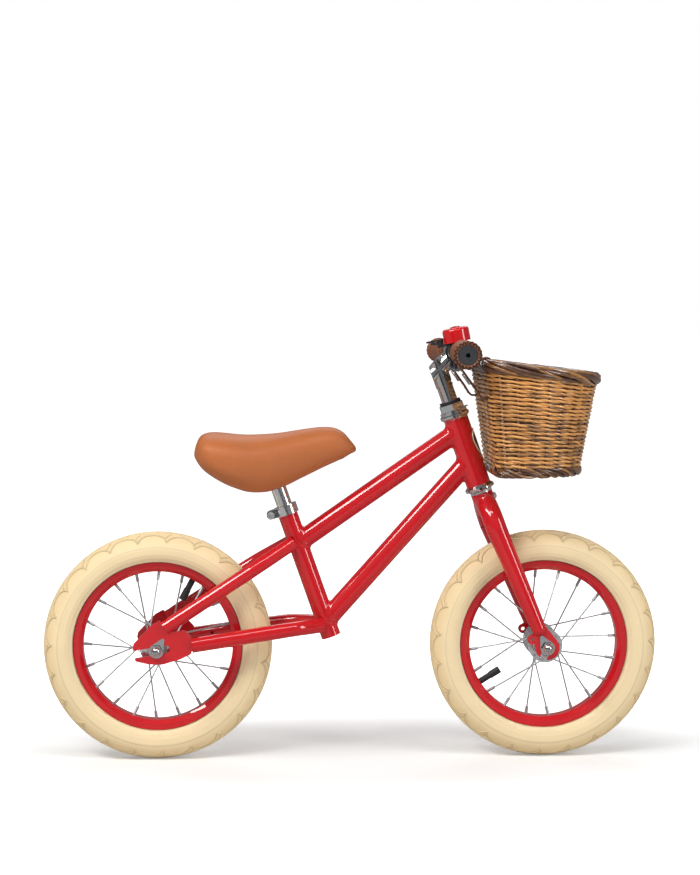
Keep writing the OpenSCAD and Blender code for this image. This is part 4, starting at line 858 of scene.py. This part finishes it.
class BIKE_OT_straps(Operator):
    """Makes the two basket straps with their stitching and buckles"""

    bl_idname = "bike.straps"
    bl_label = "Basket straps"

    def execute(self, context):
        leather = hide("dark strap leather", colours().strap, 520, 0.0002, 0.46, 0.2)
        waxed = thread("strap thread", (0.50, 0.30, 0.14))
        path, buckle = strap_path()
        for side, y in (("right", -72), ("left", 72)):
            moved = [p + Vector((0, y, 0)) for p in path]
            strap = band("strap_" + side, moved, STRAP_WIDTH, STRAP_THICK, leather)
            fitted(strap, "basket", "basket_straps" if side == "right" else None)
            self.stitches(side, moved, waxed)
            self.buckle(side, buckle + Vector((0, y, 0)))
        return {"FINISHED"}

    def stitches(self, side, path, waxed):
        """A row of stitches along each edge of a strap's outer face."""
        seam = []
        for edge in (-6.3, 6.3):
            for i in range(0, len(path), 2):
                here, there = path[i], path[(i + 1) % len(path)]
                run = (there - here).normalized()
                out = Vector((-run.z, 0, run.x)) * 1.25
                points = [here.lerp(there, t) + out * rise + Vector((0, edge, 0))
                          for t, rise in ((0.18, 1), (0.5, 1.12), (1.05, 1))]
                seam.append(([p * MM for p in points], THREAD_R * MM, 0.5, False))
        rods("strap_stitches_" + side, seam, waxed, "basket", sides=6, seed=2)

    def buckle(self, side, at):
        """Bent wire frame with a middle bar and a prong, lying on the lower run."""
        run = (by_slot(1.5) - on_bar(STRAP_LOW)).normalized()
        out = Vector((run.z, 0, -run.x))
        across = Vector((0, 1, 0))
        half_long, half_wide = 7, 11
        centre = at + out * 1.9
        wire = []
        for k in range(40):
            a = tau * k / 40
            wire.append(centre + run * bow(cos(a), 0.35) * half_long + across * bow(sin(a), 0.35) * half_wide
                        + out * 0.5)
        middle = [centre + across * half_wide * t - out * 0.2 for t in (-1, -0.5, 0, 0.5, 1)]
        prong = [centre + run * along + out * lift
                 for along, lift in ((0, 1.0), (2.5, 1.5), (5, 1.7), (7.8, 1.6))]
        shapes = ((wire, 1.15, True), (middle, 0.95, False), (prong, 0.9, False))
        paths = [([p * MM for p in points], radius * MM, 0.5, closed) for points, radius, closed in shapes]
        rods("buckle_" + side, paths, chrome(), "basket", sides=10)


SADDLE_STATIONS = (
    # x, top, underside, half width, in millimetres
    (-202.4, 396.0, 394.0, 1.0), (-201.8, 400.0, 391.5, 18.0), (-200.0, 407.0, 388.0, 32.0),
    (-196.0, 415.9, 381.6, 46.0), (-190.0, 420.5, 374.6, 56.0), (-180.0, 422.8, 366.8, 62.0),
    (-165.0, 422.2, 357.6, 64.5), (-150.0, 420.6, 351.0, 65.0), (-132.0, 419.6, 345.6, 63.5),
    (-111.0, 420.4, 345.3, 58.0), (-96.0, 421.6, 349.0, 53.0), (-82.0, 423.5, 354.2, 47.5),
    (-67.0, 426.0, 361.7, 42.0), (-50.0, 428.4, 370.0, 37.5), (-37.0, 429.5, 376.5, 35.0),
    (-22.0, 428.5, 383.4, 31.5), (-10.0, 422.6, 389.0, 26.5), (-1.3, 412.9, 394.5, 20.0),
    (3.5, 407.0, 396.6, 12.5), (5.8, 403.6, 398.2, 6.0), (6.4, 401.5, 399.8, 1.0),
)


class BIKE_OT_saddle(Operator):
    """Shapes the padded saddle cover over its plastic base"""

    bl_idname = "bike.saddle"
    bl_label = "Saddle cover"

    def execute(self, context):
        cover = hide("tan saddle leather", colours().saddle, 620, 0.00012, 0.5, 0.06)
        steps = 34
        start = radians(-66)
        sweep = pi - 2 * start
        rings = []
        for x, top, low, half in smooth_path(SADDLE_STATIONS, 5):
            wall = min(4.2, 0.42 * (top - low), 0.6 * half)
            mid = low + 0.52 * (top - low)
            outer, inner = [], []
            for k in range(steps + 1):
                a = start + sweep * k / steps
                upper = sin(a) > 0
                for ring, shrink in ((outer, 0.0), (inner, wall)):
                    y = (half - shrink) * bow(cos(a), 0.82 if upper else 0.7)
                    height = (top - mid if upper else mid - low) - shrink
                    ring.append(Vector((x, y, mid + height * bow(sin(a), 0.86 if upper else 0.74))) * MM)
            first_lip = (outer[0] + inner[0]) / 2 + (outer[0] - outer[1]) * 0.35
            last_lip = (outer[-1] + inner[-1]) / 2 + (outer[-1] - outer[-2]) * 0.35
            rings.append(outer + [last_lip] + inner[::-1] + [first_lip])
        piece = loft("saddle_leather_cover", rings, cover)
        fitted(piece, "saddle", "saddle_cover")
        return {"FINISHED"}


def bar_point(side, along):
    """Point on the swept end of the handlebar, millimetres beyond the bend, and the bar's direction."""
    bend = Vector((0, BAR_STRAIGHT + BAR_BEND * sin(BAR_SWEEP), 0))
    bend += BAR_BACK * BAR_BEND * (1 - cos(BAR_SWEEP))
    run = Vector((0, cos(BAR_SWEEP), 0)) + BAR_BACK * sin(BAR_SWEEP)
    at = bend + run * along
    return BAR + Vector((at.x, side * at.y, at.z)), Vector((run.x, side * run.y, run.z))


class BIKE_OT_grips(Operator):
    """Makes the leather grips with their sewn seam and laced end collar"""

    bl_idname = "bike.grips"
    bl_label = "Grips"

    def execute(self, context):
        leather = hide("brown grip leather", colours().grip, 460, 0.0002, 0.46, 0.15)
        waxed = thread("grip thread", (0.028, 0.011, 0.006))
        length = GRIP_TO - GRIP_FROM
        profile = [(0.1, 11.4), (0, 14.6), (0.5, 15.6), (1.5, 16.2), (3.6, 16.2), (4.8, 15.7), (5.6, 14.9)]
        profile += [(10 + 8 * k, 15.0 + 0.35 * sin(pi * k / 10)) for k in range(11)]
        collar = ((9.6, 15.0), (9.2, 15.9), (8.6, 16.7), (7, 17.05), (4.6, 17.15), (2.2, 17.1), (0.9, 16.8),
                  (0, 15.9), (0, 12.3), (2.6, 12.2), (2.6, 11.4))
        profile += [(length - before_end, radius) for before_end, radius in collar] + profile[:1]
        for side, label, seam_angle in ((-1, "right", 35), (1, "left", 215)):
            start, run = bar_point(side, GRIP_FROM)
            grip = turned("grip_" + label, start * MM, run, profile, leather, sides=72)
            fitted(grip, "bar", "grips" if label == "right" else None)
            lacing = self.lacing(start, run, length) + self.seam(start, run, radians(seam_angle))
            rods("grip_lacing_" + label, lacing, waxed, "bar", sides=6, seed=2)
        return {"FINISHED"}

    def lacing(self, start, run, length):
        """Zigzag of thread over the rounded edge of the end collar."""
        u, v = frame_of(run)
        turns = 20
        over = ((length + 0.15, 13.3), (length + 0.1, 15.7), (length - 1.2, 17.0))
        paths = []
        for k in range(2 * turns):
            points = [(start + run * along + around(u, v, pi * k / turns + pi / turns * t, radius)) * MM
                      for t, (along, radius) in zip((0, 0.5, 1), over if k % 2 else over[::-1])]
            paths.append((points, 0.75 * MM, 0.5, False))
        return paths

    def seam(self, start, run, angle):
        """Row of crossed stitches along the grip."""
        u, v = frame_of(run)
        paths = []
        first, pitch, long, wide = 9, 4.2, 2.6, 0.24
        for k in range(20):
            for lean in (-1, 1):
                points = []
                for t in (0, 0.5, 1):
                    on_skin = around(u, v, angle + lean * (0.5 - t) * wide, 15.45)
                    points.append((start + run * (first + k * pitch + long * t) + on_skin) * MM)
                paths.append((points, THREAD_R * MM, 0.5, False))
        return paths


# ------------------------------------------------------------------ tyres


def on_tyre(turn, way, lift=0.15):
    """Point of a tyre about its axle: turn is the angle round the section, way the angle round the wheel."""
    a = radians(turn)
    out = TYRE_MIDDLE + (TYRE_BODY + lift) * cos(a)
    return Vector((cos(way) * out, (TYRE_BODY + lift) * sin(a), sin(way) * out))


class BIKE_OT_tyres(Operator):
    """Makes the cream tyres: ridged sidewalls, centre ribs and scalloped shoulders"""

    bl_idname = "bike.tyres"
    bl_label = "Tyres"

    def execute(self, context):
        for wheel, axle, phase in (("front", FRONT_AXLE, 0.10), ("rear", REAR_AXLE, 0.02)):
            self.carcass(wheel, axle)
            self.tread(wheel, axle, phase)
        return {"FINISHED"}

    def carcass(self, wheel, axle):
        """The tyre's skin, turned about its axle from (radius, y) points."""
        bead = [(108.9, 9.4), (109.2, 11.4), (109.9, 12.3), (110.6, 12.4)]
        first = degrees(atan2(14.4, 112.4 - TYRE_MIDDLE))
        section = []
        for k in range(97):
            turn = first - 2 * first * k / 96
            off = abs(turn)
            ridge = 0.42 * sum(exp(-((off - at) / 1.5) ** 2) for at in (101, 113, 84))
            crown = 0.5 * max(0.0, cos(radians(min(off * 1.9, 90))))
            groove = 0.55 * sum(exp(-((off - at) / 1.6) ** 2) for at in (7, 19))
            radius = TYRE_BODY + ridge + crown - groove
            section.append((TYRE_MIDDLE + radius * cos(radians(turn)), radius * sin(radians(turn))))
        inside = [(112.5, -9.0), (116, -17), (116, 17), (112.5, 9.0)]
        profile = bead + section + [(r, -y) for r, y in bead[::-1]] + inside
        sides = 180
        rings = []
        for k in range(sides):
            a = tau * k / sides
            rings.append([axle + Vector((cos(a) * r, y, sin(a) * r)) * MM for r, y in profile])
        tyre = loft("tyre_" + wheel, rings, cream(), closed=True)
        fitted(tyre, wheel + "_wheel", wheel + "_tyre")

    def tread(self, wheel, axle, phase):
        """Scallop and step lines on both shoulders, and short bars between the centre ribs."""
        count, rib = sizes().scallops, sizes().tread_rib
        pitch = tau / count
        arch = ((61, -0.50), (52, -0.47), (43, -0.39), (36, -0.24), (33, -0.04), (35, 0.16), (42, 0.32),
                (51, 0.42), (61, 0.50))
        step = ((24, 0.36), (31, 0.42), (38, 0.50), (44, 0.53))
        paths = []
        thin = 0.8
        # Shade 0.5 on these lines makes tyre_rubber paint them darker, as painted shade.
        for side, shift in ((-1, 0), (1, 0.5)):
            for line, radius in ((arch, rib), (step, rib * thin)):
                points = smooth_path([on_tyre(side * turn, (way + shift) * pitch) for turn, way in line], 4)
                paths.append(([p * MM + axle for p in points], radius, 0.5, False))
            for way in (-0.25, 0.0, 0.25):
                bar = [on_tyre(side * turn, (way + 0.004 * turn) * pitch, -0.35)
                       for turn in (8.6, 12, 15, 17.4)]
                paths.append(([p * MM + axle for p in bar], rib * thin, 0.5, False))
        rods("tread_" + wheel, paths, cream(), wheel + "_wheel", sides=6,
             ring={"Count": count, "Centre_X": axle.x, "Centre_Z": axle.z, "Phase": phase})


# ------------------------------------------------------------------ frame details


def braze(name, main, branch, size):
    """Fillet where a branch tube meets a main tube; each is (point, direction, radius) in millimetres.

    At each place around the branch, meet is where its side runs into the main tube. The fillet's section goes
    from there up the branch and out over the main tube, with its foot sunk in both.
    """
    (p, d, r_main), (q, e, r_branch) = main, branch
    d, e = d.normalized(), e.normalized()
    u, v = frame_of(e)
    sides, sink = 72, 0.12
    rings = []
    for k in range(sides):
        side = around(u, v, tau * k / sides)
        start = q + side * r_branch - p
        flat, run = start - d * start.dot(d), e - d * e.dot(d)
        aa, bb, cc = run.dot(run), flat.dot(run), flat.dot(flat) - r_main ** 2
        meet = q + side * r_branch + e * ((sqrt(max(0.0, bb * bb - aa * cc)) - bb) / aa)
        out = meet - p
        out = (out - d * out.dot(d)).normalized()
        tangent = out.cross(side).normalized()
        away = tangent.cross(out)
        away = away if away.dot(side) > 0 else -away
        along = tangent.cross(side)
        along = along if along.dot(e) > 0 else -along
        drop = size * size * away.dot(out.cross(d)) ** 2 / (2 * r_main)
        first = meet + along * size - side * sink
        last = meet + away * size - out * sink - out * drop
        knee = meet + (side + out) * 0.1
        ring = [meet - side * 0.9 - out * 0.9, first - side * 0.5]
        ring += [first * (1 - t) ** 2 + knee * 2 * t * (1 - t) + last * t * t
                 for t in (i / 8 for i in range(9))]
        ring += [last - out * 0.5]
        rings.append([point * MM for point in ring])
    return fitted(loft(name, rings, red(), closed=True), "frame")


def seat_spot(t):
    """Point on the seat tube's axis, t millimetres above its foot."""
    return SEAT_TUBE_FOOT + SEAT_AXIS * t


class BIKE_OT_joints(Operator):
    """Fills the brazed joints of the frame tubes"""

    bl_idname = "bike.joints"
    bl_label = "Brazed joints"

    def execute(self, context):
        size = sizes().fillet / MM
        head = (LOW_HEAD / MM, COLUMN, HEAD_TUBE_R)
        seat = (seat_spot(0), SEAT_AXIS, FRAME_TUBE_R)
        for label, on_head, on_seat in (("top", 74.4, 129), ("down", 33.7, 21)):
            front, back = steering_point(0, on_head) / MM, seat_spot(on_seat)
            braze("joint_head_" + label, head, (front, back - front, FRAME_TUBE_R), size)
            braze("joint_seat_" + label, seat, (back, front - back, FRAME_TUBE_R), size)
        return {"FINISHED"}


class BIKE_OT_trim(Operator):
    """Edges the bare head badge with a pale bead and caps the bell"""

    bl_idname = "bike.trim"
    bl_label = "Badge edge and bell cap"

    def execute(self, context):
        self.badge_edge()
        self.bell_cap()
        return {"FINISHED"}

    def badge_edge(self):
        """Round bead on the badge's outline, from (y, height) points of its left half and their mirror."""
        half = [(5, 9), (10.5, 18), (12.3, 30), (11.5, 38), (5, 45)]
        outline = [(0, 0)] + half + [(-y, z) for y, z in half[::-1]]
        points = []
        for i, (y0, z0) in enumerate(outline):
            y1, z1 = outline[(i + 1) % len(outline)]
            for t in (0, 0.25, 0.5, 0.75):
                y, z = y0 + (y1 - y0) * t, z0 + (z1 - z0) * t
                on_column = steering_point(sqrt(BADGE_R ** 2 - y * y), BADGE_FOOT + z)
                points.append(on_column + Vector((0, y * MM, 0)))
        pale = moulded("cream badge edge", (0.80, 0.70, 0.50), 0.4)
        rods("badge_edge", [(points, 0.62 * MM, 0.5, True)], pale, "frame")

    def bell_cap(self):
        """Small black cap on top of the bell's dome."""
        lean = radians(11)
        up = Vector((-sin(lean), 0, cos(lean)))
        start = BAR_CENTRE + Vector((0, -44 * MM, 0)) + up * 31.0 * MM
        profile = [(-0.4, 0.05), (-0.4, 4.0), (0.6, 4.2), (1.4, 3.9), (2.0, 2.8), (2.25, 0.05)]
        black = moulded("black bell cap", (0.03, 0.03, 0.034), 0.35)
        fitted(turned("bell_cap", start, up, profile, black, 32), "bar")


class BIKE_OT_finishes(Operator):
    """Gives every plain frame part its finish"""

    bl_idname = "bike.finishes"
    bl_label = "Finishes"

    def execute(self, context):
        finishes = {
            "red_paint": red(),
            "red_rim": red(),
            "red_bell": enamel("bell enamel", colours().bell),
            "badge_bronze": badge_plate("bronze badge", (0.20, 0.085, 0.045)),
            "chrome": chrome(),
            "bolt_steel": brushed("zinc plated steel", (0.88, 0.89, 0.91), 0.28),
            "polished_aluminium": plated("polished aluminium", (0.88, 0.89, 0.9), 0.08, 0.18),
            "axle_steel": brushed("turned steel", (0.78, 0.79, 0.81), 0.34),
            "spoke_steel": plated("drawn spoke steel", (0.5, 0.51, 0.53), 0.25, 0.4, 0.6),
            "cream_tyre": cream(),
            "tube_rubber": moulded("black tube rubber", (0.022, 0.022, 0.024), 0.5),
            "seal_rubber": moulded("black seal rubber", (0.02, 0.02, 0.022), 0.42),
            "bell_black": moulded("black bell plastic", (0.025, 0.025, 0.028), 0.3),
            "plug_grey": moulded("grey plug plastic", (0.03, 0.032, 0.036), 0.5),
            "saddle_plastic": moulded("black saddle plastic", (0.03, 0.03, 0.032), 0.5),
        }
        slots = {row["node"]: row["material_slot"] for row in frame["record"]["subparts"]}
        for name, obj in frame["nodes"].items():
            if slots[name] in finishes:
                for place in obj.material_slots:
                    place.material = finishes[slots[name]]
        return {"FINISHED"}


# ------------------------------------------------------------------ studio


class BIKE_OT_studio(Operator):
    """Sets the white floor, soft lights, dark cards and camera"""

    bl_idname = "bike.studio"
    bl_label = "Studio"

    def execute(self, context):
        self.ground()
        self.sky()
        # name, place, aim, width, height, power in watts, colour
        for row in (
            ("key_softbox", (-1.5, -1.15, 2.05), (0, 0, 0.35), 1.8, 0.5, 42, (1.0, 0.985, 0.96)),
            ("right_strip", (2.1, -1.3, 1.1), (0.05, 0, 0.35), 0.45, 1.5, 18, (0.97, 0.985, 1.0)),
            ("top_strip", (0.2, -1.3, 2.3), (0, 0, 0.3), 2.4, 0.35, 19, (1, 1, 1)),
            ("front_fill", (-0.3, -3.4, 0.9), (0, 0, 0.35), 2.6, 1.4, 11, (1, 1, 1)),
            ("back_softbox", (0.3, 2.4, 2.2), (0, 0, 0.3), 2.4, 1.2, 20, (1, 1, 1)),
        ):
            self.lamp(*row)
        black = moulded("black card", (0.01, 0.01, 0.01), 0.9)
        # name, place, width, height
        for row in (
            ("dark_card_left", (-2.6, -1.2, 0.7), 0.9, 2.0),
            ("dark_card_right", (2.8, -0.8, 0.7), 0.9, 2.0),
            ("dark_card_low", (0.0, -2.2, 0.03), 5.0, 0.5),
        ):
            self.card(*row, black)
        self.camera(context)
        return {"FINISHED"}

    def ground(self):
        """Floor that turns white away from the object, and keeps the object's shadow."""
        f = Finish("studio floor")
        x, y, _ = f.split()
        far = f.length(x * 0.45, y, 0.0)
        glow = f.ramp(far, 0.25, 1.0, 0.13, 0.42) * self.seen(f, 0.1)
        mirrored = f.node("ShaderNodeLightPath", out="Is Glossy Ray")
        f.surface(
            Base_Color=f.blend(mirrored, rgba((0.74, 0.74, 0.74)), rgba((0.26, 0.26, 0.26))), Roughness=0.95,
            Specular_IOR_Level=0.0, Emission_Color=f.blend(glow, rgba((0, 0, 0)), rgba((1, 1, 1))),
            Emission_Strength=1.0,
        )
        corners = [(-30, -30, 0), (30, -30, 0), (30, 60, 0), (-30, 60, 0)]
        solid("studio_floor", corners, [(0, 1, 2, 3)], f.material, smooth=False)

    def seen(self, net, mirrored):
        """1 for rays from the camera and through glass, and mirrored for rays from mirrors."""
        camera, glossy, clear = (net.node("ShaderNodeLightPath", out=f"Is {kind} Ray")
                                 for kind in ("Camera", "Glossy", "Transmission"))
        return camera.math("MAXIMUM", glossy * mirrored, camera.math("MAXIMUM", camera, clear))

    def sky(self):
        """World that is white where it is seen and gives a weak even light."""
        world = bpy.data.worlds.new("studio")
        bpy.context.scene.world = world
        world.use_nodes = True
        net = Net(world.node_tree)
        fill = 0.17
        strength = fill + self.seen(net, 0.0) * (1 - fill)
        backdrop = net.node("ShaderNodeBackground", inputs={"Color": rgba((1, 1, 1)), "Strength": strength})
        net.node("ShaderNodeOutputWorld", inputs={"Surface": backdrop})

    def lamp(self, name, at, aim, wide, high, power, colour):
        """Rectangular soft lamp; mirrors don't see the front one."""
        light = bpy.data.lights.new(name, "AREA")
        light.shape, light.size, light.size_y = "RECTANGLE", wide, high
        light.energy, light.color = power, colour
        obj = bpy.data.objects.new(name, light)
        bpy.context.scene.collection.objects.link(obj)
        obj.location = at
        obj.rotation_euler = (Vector(aim) - Vector(at)).to_track_quat("-Z", "Y").to_euler()
        obj.visible_glossy = name != "front_fill"

    def card(self, name, at, wide, high, black):
        """Card turned to the object that only mirrors see."""
        centre = Vector(at)
        run = (Vector((0, 0, 0.35)) - centre).normalized()
        side = run.cross(Vector((0, 0, 1))).normalized() * wide / 2
        up = side.cross(run).normalized() * high / 2
        corners = [centre - side - up, centre + side - up, centre + side + up, centre - side + up]
        obj = solid(name, corners, [(0, 1, 2, 3)], black, smooth=False)
        obj.visible_camera = obj.visible_diffuse = obj.visible_shadow = obj.visible_transmission = False

    def camera(self, context):
        """Camera on the bike's right, level with the handlebar, that looks slightly down."""
        data = bpy.data.cameras.new("camera")
        data.lens, data.sensor_width = 86.13, 36
        obj = bpy.data.objects.new("camera", data)
        context.scene.collection.objects.link(obj)
        obj.location = (-0.1204, -2.700, 0.5709)
        down, right = 3.287, 2.524
        obj.rotation_euler = (radians(90 - down), 0, radians(-right))
        context.scene.camera = obj
        context.scene.view_settings.view_transform = "Standard"


# ------------------------------------------------------------------ panel and run


class BIKE_PT_panel(Panel):
    """Lists the steps that dress the bike"""

    bl_label = "Balance bike"
    bl_space_type = "VIEW_3D"
    bl_region_type = "UI"
    bl_category = "Bike"

    def draw(self, context):
        for settings in (context.scene.bike_colours, context.scene.bike_sizes):
            box = self.layout.box()
            for key in settings.__annotations__:
                box.prop(settings, key)
        for step in STEPS:
            self.layout.operator(step.bl_idname)


STEPS = (BIKE_OT_finishes, BIKE_OT_basket, BIKE_OT_straps, BIKE_OT_saddle, BIKE_OT_grips, BIKE_OT_tyres,
         BIKE_OT_joints, BIKE_OT_trim, BIKE_OT_studio)
CLASSES = (BikeColours, BikeSizes, *STEPS, BIKE_PT_panel)


def register():
    for item in CLASSES:
        bpy.utils.register_class(item)
    bpy.types.Scene.bike_colours = PointerProperty(type=BikeColours)
    bpy.types.Scene.bike_sizes = PointerProperty(type=BikeSizes)


def unregister():
    del bpy.types.Scene.bike_sizes
    del bpy.types.Scene.bike_colours
    for item in reversed(CLASSES):
        bpy.utils.unregister_class(item)


def main():
    """Dresses the bike step by step."""
    register()
    for step in STEPS:
        group, name = step.bl_idname.split(".")
        getattr(getattr(bpy.ops, group), name)()
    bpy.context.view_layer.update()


if __name__ == "__main__":
    main()
